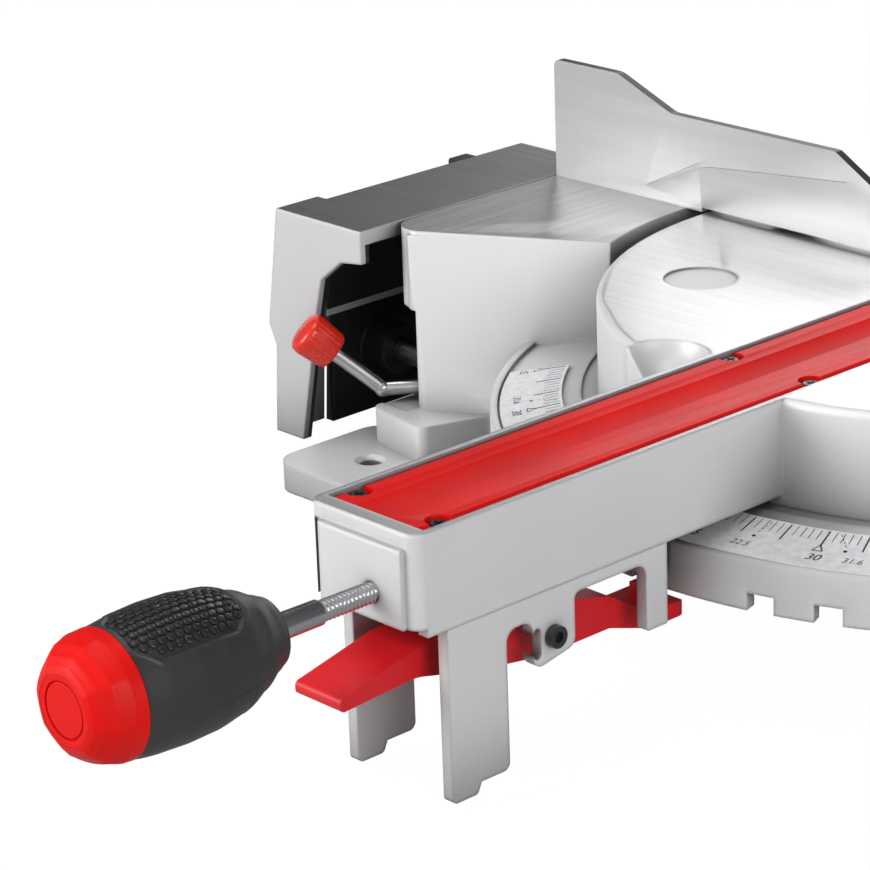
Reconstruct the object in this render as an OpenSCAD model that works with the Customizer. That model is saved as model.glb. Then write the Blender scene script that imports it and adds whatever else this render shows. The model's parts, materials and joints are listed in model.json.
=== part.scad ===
// Sliding compound mitre saw in millimetres: x to the operator's right, y to the back, z up.
// The origin is the turntable's axis on the bench, and the fence's face lies on y = 0.

/* [Table and base] */
// Height of the table's top above the bench
table_h = 110; // [100:1:125]
// Radius of the turntable's machined top
turntable_r = 158; // [152:1:164]
// Width of the rounded shoulder below the machined top
shoulder = 3; // [2:0.5:5]
// Gap between the turntable's body and the base around it
well_gap = 9; // [6:0.5:12]
// Half of the base's width
wing_half = 252; // [246:1:262]
// How far the wings' outer front corners stand in front of the fence's face
wing_front = 112; // [106:1:116]
// Distance of the wings' inner front ends from the middle
wing_inner_x = 159; // [155:1:163]
// How far the wings' inner front ends stand in front of the fence's face
wing_inner_y = 59; // [55:1:63]
// Depth of the wings behind the fence's face
wing_back = 62; // [54:1:68]
// Thickness of the base's walls
wing_wall = 5; // [4:0.5:6]
// Thickness of the wings' top plates
wing_top = 7; // [5:0.5:9]
// Outward lean of the wings' front walls at their foot
wing_lean = 6; // [3:0.5:8]
// Radius of the wings' outer front corners
wing_round = 12; // [8:1:14]
// Height of the plinth that the wings stand on
plinth_h = 29; // [26:1:32]
// How far the plinth's ledge stands in front of the fence's face
ledge_front = 124; // [122:1:128]

/* [Feet] */
// Distance of the bench bolts from the middle, sideways
foot_x = 234; // [228:1:240]
// Distance of the bench bolts from the fence's face, front and back
foot_y = 136; // [134:1:142]
// Bore of the bench bolt holes
foot_bore = 10; // [8:0.5:11]
// Width of the chamfer at the top of each bench bolt hole
foot_chamfer = 2; // [1:0.5:3]
// Thickness of the foot flanges
foot_h = 13; // [10:1:15]
// Half of a foot flange's width
foot_half = 33; // [30:1:36]
// How far a foot flange reaches past its hole, away from the fence
foot_reach = 29; // [26:1:32]

/* [Mitre scale ring] */
// Outer radius of the ring
ring_r = 206; // [200:1:212]
// Thickness of the ring's skirt
ring_wall = 6; // [5:0.5:8]
// Height of the ring's top at its outer edge
ring_out_z = 62; // [59:0.5:64]
// Height of the ring's top at its inner edge
ring_in_z = 68; // [67:0.5:68.5]
// Height of the skirt's lower edge
ring_low_z = 43.4; // [41:0.2:46]
// Half of the angle that the ring spans, from straight in front
ring_half_angle = 74; // [70:1:78]
// Width of the raised rim outside the scale
rim_w = 3; // [2:0.5:5]
// Height of the raised rim
rim_h = 1.6; // [1:0.2:2.4]
// Width of a detent notch in the skirt
notch_w = 11; // [10:0.5:13]
// Height of a detent notch in the skirt
notch_h = 7; // [6.5:0.5:9]
// Thickness of the scale plate
scale_t = 1.2; // [0.8:0.1:2]
// Inner radius of the scale plate
scale_in_r = 176; // [174:1:179]
// Half of the angle that the scale plate spans
scale_half_angle = 56; // [50:1:60]

/* [Arm of the turntable] */
// Width of the arm
arm_w = 55; // [52:1:60]
// How far the arm's front lies from the origin
arm_front = 345; // [335:1:360]
// Height of the arm's sides
arm_side_h = 38.8; // [36:0.2:40]
// Thickness of the arm's walls
arm_wall = 5; // [4:0.5:6]
// Radius of the arm's upright front corners
arm_round = 5; // [3:0.5:8]
// Height by which the front wall stops short of the sides' lower edge
front_lift = 3.3; // [2:0.1:6]
// How far the front panel stands proud of the front wall
panel_proud = 2; // [1:0.2:3]
// Width of the upright groove at the left of the front panel
panel_groove = 6; // [4:0.5:8]
// Distance of the lock rod from the arm's middle
lock_x = 6.5; // [0:0.5:8]
// Height of the lock rod
lock_z = 84.7; // [82:0.1:88]
// Bearing diameter of the lock rod
lock_d = 8; // [7:0.5:10]

/* [Kerf insert] */
// Width of the kerf insert
insert_w = 48.4; // [44:0.2:49]
// Depth of the recess that the insert lies in
insert_t = 5.6; // [5:0.1:6.4]
// How far the insert's top lies below the table
insert_drop = 0.5; // [0.3:0.1:1]
// How far the insert's front end lies from the origin
insert_front = 338; // [330:1:341]
// How far the insert reaches behind the turntable's axis
insert_back = 92; // [80:1:100]
// Distance of the kerf's left slope from the middle, at its top
slope_x = 11.2; // [9:0.2:13]
// Half of the kerf groove's width at its floor, on the left
kerf_left = 2.4; // [2:0.1:3]
// Half of the kerf groove's width on the right
kerf_right = 3.8; // [3.6:0.1:4.4]
// Thickness of the floor under the kerf groove
kerf_floor = 0.8; // [0.5:0.1:1.2]
// Width of the sloping edge along the insert's sides
edge_w = 3.6; // [2.5:0.1:4]
// Drop of the sloping edge along the insert's sides
edge_drop = 2.3; // [1.5:0.1:3]
// Distance of the insert's screws from the middle
insert_screw_x = 20.6; // [19:0.2:21]
// Distance of the front screws from the origin
insert_screw_front = 327; // [322:1:329]
// Distance between neighbouring screws along the insert
insert_screw_step = 193; // [185:1:198]

/* [Fence] */
// Height of the fence above the table at its outer ends
fence_high = 54.5; // [50:0.5:60]
// Height of the fence above the table beside the blade
fence_low = 41.5; // [38:0.5:46]
// Thickness of the fence's wall
fence_t = 4; // [3:0.5:5]
// Length of the high part's top edge
fence_high_len = 40; // [30:1:50]
// Width of the slope from the high part to the low part
fence_slope_w = 33; // [26:1:40]
// Distance from the middle to where the low part's top edge ends
fence_step_x = 84; // [80:1:90]
// Distance from the middle to the fence's lower inner corner
fence_inner_x = 31; // [28:1:34]
// Gap under the fence over the turntable
fence_gap = 2; // [1.5:0.5:3]
// Inner radius of the bow that joins the two halves behind the blade
bow_r = 110; // [104:1:112]
// Width of the bow
bow_w = 14; // [10:1:18]
// Thickness of the bow
bow_t = 8; // [6:1:9]

/* [Extensions] */
// Width of an extension's top, sideways
ext_w = 57; // [52:1:64]
// How far an extension stands in front of the fence's face
ext_front = 120; // [117:1:123]
// Depth of an extension behind the fence's face
ext_back = 28; // [22:1:34]
// Thickness of an extension's walls
ext_wall = 5; // [4:0.5:6]
// Height of an extension's lower edge above the bench
ext_low = 2; // [1.5:0.5:4]
// Diameter of the guide rods
rod_d = 12; // [10:0.5:13]
// Height of the guide rods
rod_z = 34; // [33:0.5:35]
// Place of the front guide rod, in front of the fence's face
rod_front = 66; // [62:1:70]
// Place of the rear guide rod, behind the fence's face
rod_back = 14; // [10:1:18]
// Distance from the middle to the guide rods' inner ends
rod_inner = 74; // [66:1:78]
// Diameter of a lock lever's knob
knob_d = 20; // [17:0.5:22]
// Length of a lock lever's knob
knob_len = 18; // [15:0.5:20]
// Diameter of a lock lever's rod
lever_d = 7; // [6:0.5:8]

/* [Detent lever and bracket] */
// Thickness of the bracket's plates
bracket_t = 5; // [4:0.5:6]
// Distance of the bracket's front edge from the origin
bracket_front = 331; // [327:1:334]
// Height of the bracket's feet above the bench
bracket_low = 4; // [3:0.5:6]
// Distance of the detent lever's pivot from the origin
detent_y = 280; // [277:1:283]
// Height of the detent lever's pivot
detent_z = 53; // [52:0.5:54]
// Diameter of the detent lever's pivot
detent_d = 6; // [5:0.5:7]
// Width of the detent lever
detent_w = 24; // [20:0.5:28]
// Distance of the detent lever's front tip from the origin
detent_tip = 368; // [362:1:372]

/* [Lock handle] */
// Distance of the handle's neck from the origin
handle_back = 385; // [382:1:390]
// Length of the handle's grip and cap together
handle_len = 95; // [85:1:105]
// Largest diameter of the handle
handle_d = 49; // [44:0.5:52]
// Length of the handle's red cap
cap_len = 24; // [18:1:28]

/* [Blade] */
// Diameter of the blade
blade_d = 254; // [250:1:256]
// Thickness of the blade's body
blade_t = 2.4; // [2:0.1:2.6]
// Number of the blade's teeth
blade_teeth = 48; // [24:1:60]
// Depth of the tooth gaps
tooth_depth = 7; // [4:0.5:9]
// Bore of the blade
blade_bore = 30; // [25.4:0.2:30]
// How far the lowered blade dips below the table
blade_dip = 3; // [2:0.1:3.2]
// Place of the lowered blade's axis behind the fence's face, slid back
arbor_y = 42; // [38:1:44]

/* [Head] */
// Place of the chop pivot behind the fence's face
pivot_y = 184; // [182:1:185]
// Height of the chop pivot
pivot_z = 302; // [300:1:304]
// Angle between the lowered head and the raised head
chop_angle = 40; // [36:1:42]
// Radial gap between blade, lower guard and upper guard
guard_gap = 1.5; // [1:0.1:2]
// Thickness of the lower guard
guard_t = 2; // [1.5:0.1:2.4]
// Thickness of the upper guard's walls
cover_t = 4; // [3:0.5:5]
// Half of the upper guard's width
cover_half = 18; // [17:0.5:19]
// Angle that the lower guard spans
guard_span = 160; // [150:1:165]
// Offset of the motor's axis behind the arbor
motor_dy = 26; // [22:1:30]
// Offset of the motor's axis above the arbor
motor_dz = 42; // [39:1:46]
// Diameter of the motor housing
motor_d = 92; // [86:1:96]
// Length of the motor housing
motor_len = 88; // [80:1:100]
// Diameter of the chop pin
chop_pin_d = 12; // [10:0.5:14]
// Outer diameter of the dust spout
spout_d = 38; // [34:0.5:40]
// Inner diameter of the dust spout
spout_bore = 33; // [28:0.5:34]

/* [Slide and bevel] */
// Diameter of the slide rails
rail_d = 25; // [22:0.5:28]
// Half of the distance between the slide rails
rail_x = 34; // [32:0.5:36]
// Height of the slide rails
rail_z = 332; // [330:1:334]
// Distance of the bevel joint's face from the origin
bevel_y = 232; // [231:0.5:234]
// Radius of the bevel joint's discs
bevel_r = 56; // [50:1:60]
// Diameter of the bevel bolt
bevel_bolt_d = 14; // [12:0.5:16]

/* [Hidden] */
$fn = 72;
// Facets of the large rings and discs
fine = 144;
// Radial gap of a shaft that turns or slides in its bore
fit = 0.05;
// Radial gap of a pin that is pressed into its bore
snug = 0.02;
// Gap between pieces that move past each other
gap = 1;
// How far a cutting shape runs past the surface that it cuts
over = 1;
// Steps in a rounded corner
steps = 6;

// Colours as the photograph shows them
silver = "gainsboro";
steel = "darkgray";
grey = "gray";
black = "dimgray";
red = "firebrick";

function unit(v) = v / norm(v);
function turned(v, a) = [v[0] * cos(a) - v[1] * sin(a), v[0] * sin(a) + v[1] * cos(a)];
function polar(r, a) = [r * cos(a), r * sin(a)];

// Points of the arc that rounds the corner b between its neighbours a and c
function corner(a, b, c, r) =
    let (u = unit(a - b), w = unit(c - b), half = acos(u * w) / 2)
    let (middle = b + unit(u + w) * r / sin(half))
    let (start = b + u * r / tan(half) - middle, end = b + w * r / tan(half) - middle)
    let (bend = atan2(start[0] * end[1] - start[1] * end[0], start * end))
    [for (i = [0:steps]) middle + turned(start, bend * i / steps)];

// Outline with each corner rounded to the radius that stands third in its point
function rounded(p) =
    [for (i = [0:len(p) - 1])
        let (a = p[(i + len(p) - 1) % len(p)], b = p[i], c = p[(i + 1) % len(p)])
        each (len(b) < 3 ? [b] : corner([a[0], a[1]], [b[0], b[1]], [c[0], c[1]], b[2]))];

module box(x0, x1, y0, y1, z0, z1) {
    translate([x0, y0, z0]) cube([x1 - x0, y1 - y0, z1 - z0]);
}

// Box with rounded upright edges
module soft_box(x0, x1, y0, y1, z0, z1, r) {
    translate([0, 0, z0]) linear_extrude(z1 - z0)
        polygon(rounded([[x0, y0, r], [x1, y0, r], [x1, y1, r], [x0, y1, r]]));
}

module post(x, y, d, z0, z1) {
    translate([x, y, z0]) cylinder(d = d, h = z1 - z0);
}

module bar_x(y, z, d, x0, x1) {
    translate([x0, y, z]) rotate([0, 90, 0]) cylinder(d = d, h = x1 - x0);
}

module bar_y(x, z, d, y0, y1) {
    translate([x, y0, z]) rotate([-90, 0, 0]) cylinder(d = d, h = y1 - y0);
}

// Outline of y and z, extruded from x0 to x1
module plate_x(x0, x1) {
    translate([x0, 0, 0]) rotate([90, 0, 90]) linear_extrude(x1 - x0) children();
}

// Outline of x and z, extruded from y0 to y1
module plate_y(y0, y1) {
    translate([0, y1, 0]) rotate([90, 0, 0]) linear_extrude(y1 - y0) children();
}

module plate_z(z0, z1) {
    translate([0, 0, z0]) linear_extrude(z1 - z0) children();
}

// Outline of radius and height, turned about the z axis around the front direction
module front_ring(half_angle) {
    rotate([0, 0, -90 - half_angle]) rotate_extrude(angle = 2 * half_angle, $fn = fine) children();
}

// Outline of radius and x, turned about the line through y and z; angles run from below towards the back
module wheel(y, z, from, to) {
    translate([0, y, z]) rotate([0, 90, 0]) rotate([0, 0, from])
        rotate_extrude(angle = to - from, $fn = fine) children();
}

// Outline of radius and y, turned about the line along y through x and z
module spun_y(x, z) {
    translate([x, 0, z]) rotate([-90, 0, 0]) rotate_extrude() children();
}

module side(s) {
    mirror([s < 0 ? 1 : 0, 0, 0]) children();
}

module both() {
    for (s = [-1, 1]) side(s) children();
}

// Outline of two discs and the belt around them
module belt(a, ra, b, rb) {
    v = b - a;
    base = atan2(v[1], v[0]);
    open = acos((ra - rb) / norm(v));
    translate(a) circle(r = ra);
    translate(b) circle(r = rb);
    polygon([a + polar(ra, base + open), b + polar(rb, base + open),
        b + polar(rb, base - open), a + polar(ra, base - open)]);
}

// Table and base
body_r = turntable_r + shoulder;
open_r = body_r + well_gap;
// Height of the seat that the turntable turns on
seat_z = ring_in_z - gap;
// Inner radius of the seat
seat_in_r = 140;
// Thickness of the seat
seat_t = 12;
// Width by which the scale ring reaches in over the seat
ring_lip = 2;
// Height of the spokes under the turntable
spoke_low = 45;
spoke_h = 13;
spoke_w = 16;
spoke_count = 6;
// Hub under the turntable and its pivot bolt
hub_d = 60;
hub_low = spoke_low - 2;
pivot_d = 16;
pivot_head_d = 28;
pivot_head_h = 9;
// Rise of the front edge of a wing for each millimetre towards the middle
wing_slope = (wing_front - wing_inner_y) / (wing_half - wing_inner_x);
// Where the outlines of the wings end inside the turntable's well
well_x = open_r - 50;
// Outer edge of the plinth's ledge, as distances from the wing's half width and its front
ledge_in_x = 37;
ledge_inner = 49;
ledge_back = 32;
// Centre lines of the rod bosses and their size
boss_d = 24;
boss_len = 30;
// Opening in the outer wall that the lock lever reaches through
slot_front = 112;
slot_back = 88;
slot_low = 28;
slot_high = 74;
// Place of the lock lever's pivot
lever_x = wing_half - 14;
lever_hub_y = 86;
lever_shaft_d = 8;

// Front edge of a wing at x, moved out by lean and in by inset
function wing_edge(x, lean, inset) =
    -wing_front + wing_slope * (wing_half - x) - lean + inset * norm([1, wing_slope]);

// Outline of the right wing, with its walls moved in by inset
function wing_outline(lean, inset) = rounded([
    [wing_half - inset, wing_edge(wing_half - inset, lean, inset), wing_round - inset + 0.9 * lean],
    [wing_half - inset, wing_back - inset, wing_round - inset], [well_x, wing_back - inset],
    [well_x, wing_edge(well_x, lean, inset)]]);

module wing_block(inset, z0, z1) {
    plate_z(z0, z1) polygon(wing_outline(0, inset));
}

// Slanting front of the wing, which thickens it towards its foot
module wing_apron() {
    top = table_h - 2 * over;
    intersection() {
        plate_z(plinth_h - over, top) polygon(wing_outline(wing_lean, 0));
        translate([wing_half, -wing_front, 0]) rotate([0, 0, -atan(wing_slope)]) plate_x(-wing_half,
            wing_round)
            polygon([[over, top], [0, top], [-wing_lean, plinth_h - over], [over, plinth_h - over]]);
    }
}

module plinth() {
    plate_z(0, plinth_h) polygon(rounded([
        [wing_half, -ledge_front + ring_wall, wing_wall], [wing_half, wing_back, wing_round],
        [well_x, wing_back], [well_x, -wing_inner_y],
        [wing_half - ledge_inner, -ledge_front + ledge_back, wing_wall],
        [wing_half - ledge_in_x, -ledge_front, wing_wall]]));
}

module foot_flange(y0, y1) {
    soft_box(foot_x - foot_half, foot_x + foot_half, y0, y1, 0, foot_h, wing_round);
}

module foot_hole(y) {
    post(foot_x, y, foot_bore, -over, foot_h + over);
    translate([foot_x, y, foot_h - foot_chamfer])
        cylinder(d1 = foot_bore, d2 = foot_bore + 2 * foot_chamfer, h = foot_chamfer);
    translate([foot_x, y, foot_h - snug])
        cylinder(d = foot_bore + 2 * foot_chamfer, h = plinth_h);
}

// Boss in which the lock lever's shaft turns, beside the front guide rod
module lever_boss() {
    box(lever_x - boss_d / 2 + 2, wing_half - over, -lever_hub_y + 9, -rod_front, rod_z - boss_d / 2,
        rod_z + boss_d / 2);
}

module base_casting() {
    color(silver) difference() {
        union() {
            both() difference() {
                union() {
                    wing_block(0, plinth_h - over, table_h);
                    wing_apron();
                    plinth();
                }
                difference() {
                    wing_block(wing_wall, -over, table_h - wing_top);
                    post(0, 0, 2 * (open_r + wing_wall), -2 * over, table_h, $fn = fine);
                }
                post(0, 0, 2 * open_r, -over, table_h + over, $fn = fine);
            }
            both() {
                foot_flange(-foot_y - foot_reach, -wing_front + wing_round);
                foot_flange(wing_back - wing_round, foot_y + foot_reach);
                for (y = [-rod_front, rod_back]) {
                    bar_x(y, rod_z, boss_d, wing_half - boss_len, wing_half - over);
                    bar_x(y, rod_z, boss_d, open_r - boss_d / 2, open_r + boss_d / 2);
                }
                lever_boss();
            }
            difference() {
                post(0, 0, 2 * (open_r + over), seat_z - seat_t, seat_z, $fn = fine);
                post(0, 0, 2 * seat_in_r, seat_z - seat_t - over, seat_z + over, $fn = fine);
            }
            post(0, 0, hub_d, hub_low, seat_z);
            for (i = [0:spoke_count - 1]) rotate([0, 0, i * 360 / spoke_count])
                box(0, seat_in_r + over, -spoke_w / 2, spoke_w / 2, spoke_low, spoke_low + spoke_h);
            front_ring(ring_half_angle) polygon([
                [open_r - ring_lip, seat_z - seat_t], [open_r - ring_lip, ring_in_z], [ring_r - rim_w,
                ring_out_z],
                [ring_r - rim_w, ring_out_z + rim_h], [ring_r, ring_out_z + rim_h], [ring_r, ring_low_z],
                [ring_r - ring_wall, ring_low_z], [ring_r - ring_wall, seat_z - seat_t]]);
        }
        post(0, 0, pivot_d + 2 * snug, hub_low - over, seat_z + over);
        both() {
            foot_hole(-foot_y);
            foot_hole(foot_y);
            for (y = [-rod_front, rod_back])
                bar_x(y, rod_z, rod_d + 2 * fit, open_r - boss_d, wing_half + over);
            bar_y(lever_x, rod_z, lever_shaft_d + 2 * fit, -lever_hub_y, -rod_front);
            box(wing_half - wing_wall - wing_round, wing_half + over, -slot_front, -slot_back,
            slot_low, slot_high);
            for (x = fence_bolt_x) post(x, fence_bolt_y, fence_bolt_d, table_h - wing_top - over,
            table_h + over);
        }
        for (a = detents) rotate([0, 0, a])
            box(-notch_w / 2, notch_w / 2, -ring_r - over, -ring_r + ring_wall + over, ring_low_z - over,
                ring_low_z + notch_h);
    }
}

// Angles of the detents, in degrees from straight ahead
detents = [-45, -30, -22.5, -15, 0, 15, 22.5, 30, 45];

// Height of the ring's sloping top at radius r
function cone_z(r) = ring_in_z + (ring_out_z - ring_in_z) * (r - open_r) / (ring_r - rim_w - open_r);

scale_out_r = ring_r - rim_w - gap;

module mitre_scale() {
    color(silver) front_ring(scale_half_angle) polygon([
        [scale_in_r, cone_z(scale_in_r)], [scale_out_r, cone_z(scale_out_r)],
        [scale_out_r, cone_z(scale_out_r) + scale_t], [scale_in_r, cone_z(scale_in_r) + scale_t]]);
}

module pivot_bolt() {
    color(steel) {
        post(0, 0, pivot_d, hub_low - over, table_h - table_t - over);
        post(0, 0, pivot_head_d, hub_low - pivot_head_h, hub_low);
    }
}

// Fence
fence_bolt_in = 17;
fence_bolt_out = 20;
fence_bolt_x = [body_r + fence_bolt_in, wing_half - fence_bolt_out];
fence_bolt_y = 21;
fence_bolt_d = 8;
fence_foot_in = 166;
fence_foot_back = 34;
fence_foot_t = 8;
fence_head_d = 14;
fence_head_h = 7;
// Rounding of the fence's upper outer corner
fence_round = 3;
// Height of the fence's lower inner corner above the table
fence_toe = 16;
fence_toe_x = 40;
fence_knee = 30;
fence_knee_x = 64;
// Relief on the fence's face
relief_depth = 0.6;

fence_low_x = wing_half - fence_high_len - fence_slope_w;

module fence_face() {
    polygon(rounded([
        [wing_half, table_h], [wing_half, table_h + fence_high, fence_round],
        [wing_half - fence_high_len, table_h + fence_high, wing_round],
        [fence_low_x, table_h + fence_low, wing_round], [fence_step_x, table_h + fence_low, fence_round],
        [fence_knee_x, table_h + fence_knee, fence_round],
        [fence_toe_x, table_h + fence_toe, fence_round],
        [fence_inner_x, table_h + fence_gap], [body_r, table_h + fence_gap], [body_r, table_h]]));
}

module fence() {
    color(grey) difference() {
        union() {
            both() {
                plate_y(0, fence_t) fence_face();
                box(fence_foot_in, wing_half, fence_t - snug, fence_foot_back, table_h,
                table_h + fence_foot_t);
                box(wing_half - fence_t, wing_half, fence_t - snug, fence_foot_back,
                table_h + fence_foot_t - over, table_h + fence_foot_t + fence_t);
            }
            difference() {
                post(0, 0, 2 * (bow_r + bow_w), table_h + fence_gap, table_h + fence_gap + bow_t,
                $fn = fine);
                post(0, 0, 2 * bow_r, table_h, table_h + fence_gap + bow_t + over, $fn = fine);
                box(-body_r, body_r, -body_r, fence_t - snug, table_h, table_h + fence_high);
            }
        }
        both() {
            for (x = fence_bolt_x) post(x, fence_bolt_y, fence_bolt_d + 2 * snug, table_h - over,
            table_h + fence_high);
            translate([0, -relief_depth, 0]) plate_y(0, 2 * relief_depth) polygon(rounded([
                [fence_low_x + fence_slope_w / 2, table_h + 6], [fence_low_x - 20, table_h + 24, 30],
                [fence_knee_x + 8, table_h + fence_knee + 2], [fence_knee_x + 14, table_h + fence_knee - 1],
                [fence_low_x - 20, table_h + 21, 30]]));
        }
    }
}

module fence_bolts() {
    color(steel) both() for (x = fence_bolt_x) {
        post(x, fence_bolt_y, fence_bolt_d - 2 * snug, table_h - wing_top - over, table_h + fence_foot_t);
        difference() {
            post(x, fence_bolt_y, fence_head_d, table_h + fence_foot_t,
            table_h + fence_foot_t + fence_head_h);
            translate([x, fence_bolt_y, table_h + fence_foot_t + fence_head_h / 2])
                cylinder(d = fence_bolt_d * 0.8, h = fence_head_h, $fn = 6);
        }
    }
}

// Extensions
ext_x = wing_half + gap;
ext_out = ext_x + ext_w;
// Width by which the front part is wider than the rest
ext_step = 6;
ext_step_len = 25;
// Thickness of the extension's top
ext_top = 7;
// Outline of the extension's side: outward distances from its top's outer edge, and heights
flare = 9;
waist_z = 54;
notch_z = 44;
notch_in = 4.5;
hem_in = 1.5;
// Outline of the leg's inner edge
leg_w = 19;
leg_knee_x = 33;
leg_knee_z = 62;
arch_x = 38;
arch_z = 82;
arch_top_x = 52;
arch_top_z = 93;
arch_end_z = 95;
// Stop on the extension's outer edge
stop_y = 7;
stop_w = 10;
stop_h = 10;
stop_out = 8;

// Outline of the extension, with its outer edge moved in by back
function ext_outline(back) = [
    [ext_x, table_h], [ext_out - back, table_h], [ext_out + flare - back, waist_z],
    [ext_out + flare - notch_in - back, notch_z], [ext_out + flare - hem_in - back, ext_low],
    [ext_out + flare - hem_in - leg_w, ext_low], [ext_out + flare - leg_knee_x, leg_knee_z],
    [ext_out + flare - arch_x, arch_z], [ext_out + flare - arch_top_x, arch_top_z], [ext_x, arch_end_z]];

function ext_hollow(back) = [
    [ext_x - over, table_h - ext_top], [ext_out - ext_wall - back, table_h - ext_top],
    [ext_out + flare - ext_wall - back, waist_z], [ext_out + flare - notch_in - ext_wall - back, notch_z],
    [ext_out + flare - hem_in - ext_wall - back, ext_low - over], [ext_x - over, ext_low - over]];

module extension(s) {
    color(silver) side(s) difference() {
        union() {
            plate_y(-ext_front, -ext_front + ext_step_len) polygon(ext_outline(0));
            plate_y(-ext_front, ext_back) polygon(ext_outline(ext_step));
            for (y = [-rod_front, rod_back]) intersection() {
                bar_x(y, rod_z, boss_d, ext_out - ext_step - boss_len / 2, ext_out + flare - ext_step);
                plate_y(-ext_front, ext_back) polygon(ext_solid_leg());
            }
        }
        difference() {
            union() {
                plate_y(-ext_front + ext_wall, -ext_front + ext_step_len) polygon(ext_hollow(0));
                plate_y(-ext_front + ext_step_len - over,
                ext_back - ext_wall) polygon(ext_hollow(ext_step));
            }
            for (y = [-rod_front, rod_back])
                bar_x(y, rod_z, boss_d, ext_out - ext_step - boss_len / 2, ext_out + flare);
        }
        for (y = [-rod_front, rod_back])
            bar_x(y, rod_z, rod_d + 2 * snug, ext_x - over, ext_out - ext_step);
    }
}

// Outline within which the rod bosses stay
function ext_solid_leg() = [
    [ext_x, table_h], [ext_out - ext_step, table_h], [ext_out + flare - ext_step, waist_z],
    [ext_out + flare - notch_in - ext_step, notch_z], [ext_out + flare - hem_in - ext_step, ext_low],
        [ext_x, ext_low]];

module extension_rods(s) {
    color(steel) side(s) for (y = [-rod_front, rod_back])
        bar_x(y, rod_z, rod_d, rod_inner, ext_out - ext_step - snug);
}

module extension_stop(s) {
    lean = flare * stop_h / (table_h - waist_z);
    color(black) side(s) plate_y(-stop_y - stop_w / 2, -stop_y + stop_w / 2) polygon(rounded([
        [ext_out - ext_step + snug, table_h], [ext_out - ext_step + lean + snug, table_h - stop_h],
        [ext_out + stop_out - ext_step, table_h - stop_h, 1], [ext_out + stop_out - ext_step, table_h,
            2]]));
}

// Lock levers of the extensions
lever_bend_out = 4;
lever_bend_y = 108;
knob_out = 20.6;
knob_y = 130.4;
knob_up = 24.2;
knob_rib_d = 2.4;
knob_rib_out = 0.4;
knob_rib_from = 2;
lever_hub_d = 17;
lever_hub_len = 8;
// Bends of the lever's rod and the middle of its knob, for the right side
lever_bend = [wing_half + lever_bend_out, -lever_bend_y, rod_z];
knob_mid = [wing_half + knob_out, -knob_y, rod_z + knob_up];
knob_dir = unit(knob_mid - lever_bend);
knob_ribs = 14;

module rod_between(a, b, d) {
    v = b - a;
    translate(a) rotate([0, acos(v[2] / norm(v)), atan2(v[1], v[0])]) cylinder(d = d, h = norm(v));
}

module lock_lever(s) {
    hub = [lever_x, -lever_hub_y, rod_z];
    color(steel) side(s) {
        bar_y(lever_x, rod_z, lever_hub_d, -lever_hub_y - lever_hub_len / 2 + over,
            -lever_hub_y + lever_hub_len / 2 + over);
        bar_y(lever_x, rod_z, lever_shaft_d, -lever_hub_y, -rod_front - rod_d / 2 - gap);
        rod_between(hub, lever_bend, lever_d);
        translate(lever_bend) sphere(d = lever_d + over);
        rod_between(lever_bend, knob_mid, lever_d);
    }
}

module lock_knob(s) {
    start = knob_mid - knob_dir * knob_len / 2;
    end = knob_mid + knob_dir * knob_len / 2;
    color(red) side(s) difference() {
        rod_between(start, end, knob_d);
        rod_between(start - knob_dir, knob_mid + knob_dir * snug, lever_d + 2 * snug);
        for (i = [0:knob_ribs - 1])
            translate(start) rotate([0, acos(knob_dir[2]), atan2(knob_dir[1], knob_dir[0])])
                rotate([0, 0, i * 360 / knob_ribs]) translate([knob_d / 2 + knob_rib_out, 0, knob_rib_from])
                    cylinder(d = knob_rib_d, h = knob_len, $fn = 16);
    }
}

// Turntable with its arm
table_t = 10;
skirt_t = 6;
hub_in_d = 50;
neck_half = 45;
neck_front = 120;
neck_top = table_h - insert_t - over;
arm_low = table_h - arm_side_h;
arm_join = 130;
recess_half = insert_w / 2 + 0.6;
// Bare round place on the turntable's left
dial_x = 96.5;
dial_y = 70;
dial_r = 15.5;
dial_depth = 1;
// Hollow for a finger beside the arm
scoop_x = 41;
scoop_y = 151;
scoop_z = 7;
scoop_r = 20;
// Nut boss of the lock rod
nut_d = 20;
nut_len = 22;
panel_top = 104;
shoe_x = 10;

module turntable_shape() {
    rotate_extrude($fn = fine) difference() {
        polygon(concat([[0, table_h], [turntable_r, table_h]],
            [for (i = [1:steps]) [turntable_r + shoulder * sin(15 * i),
            table_h - shoulder + shoulder * cos(15 * i)]],
            [[body_r, seat_z], [body_r - skirt_t, seat_z], [body_r - skirt_t, table_h - table_t],
            [hub_in_d / 2, table_h - table_t], [hub_in_d / 2, seat_z], [0, seat_z]]));
    }
}

module arm_shape() {
    plate_z(arm_low, table_h) polygon(rounded([
        [-arm_w / 2, -arm_front, arm_round], [arm_w / 2, -arm_front, arm_round],
        [arm_w / 2, -arm_join], [-arm_w / 2, -arm_join]]));
}

module finger_hollow() {
    translate([-scoop_x, -scoop_y, table_h + scoop_z]) intersection() {
        sphere(r = scoop_r);
        box(-scoop_r, scoop_x - arm_w / 2, -scoop_r, scoop_r, -scoop_r, scoop_r);
    }
}

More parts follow.
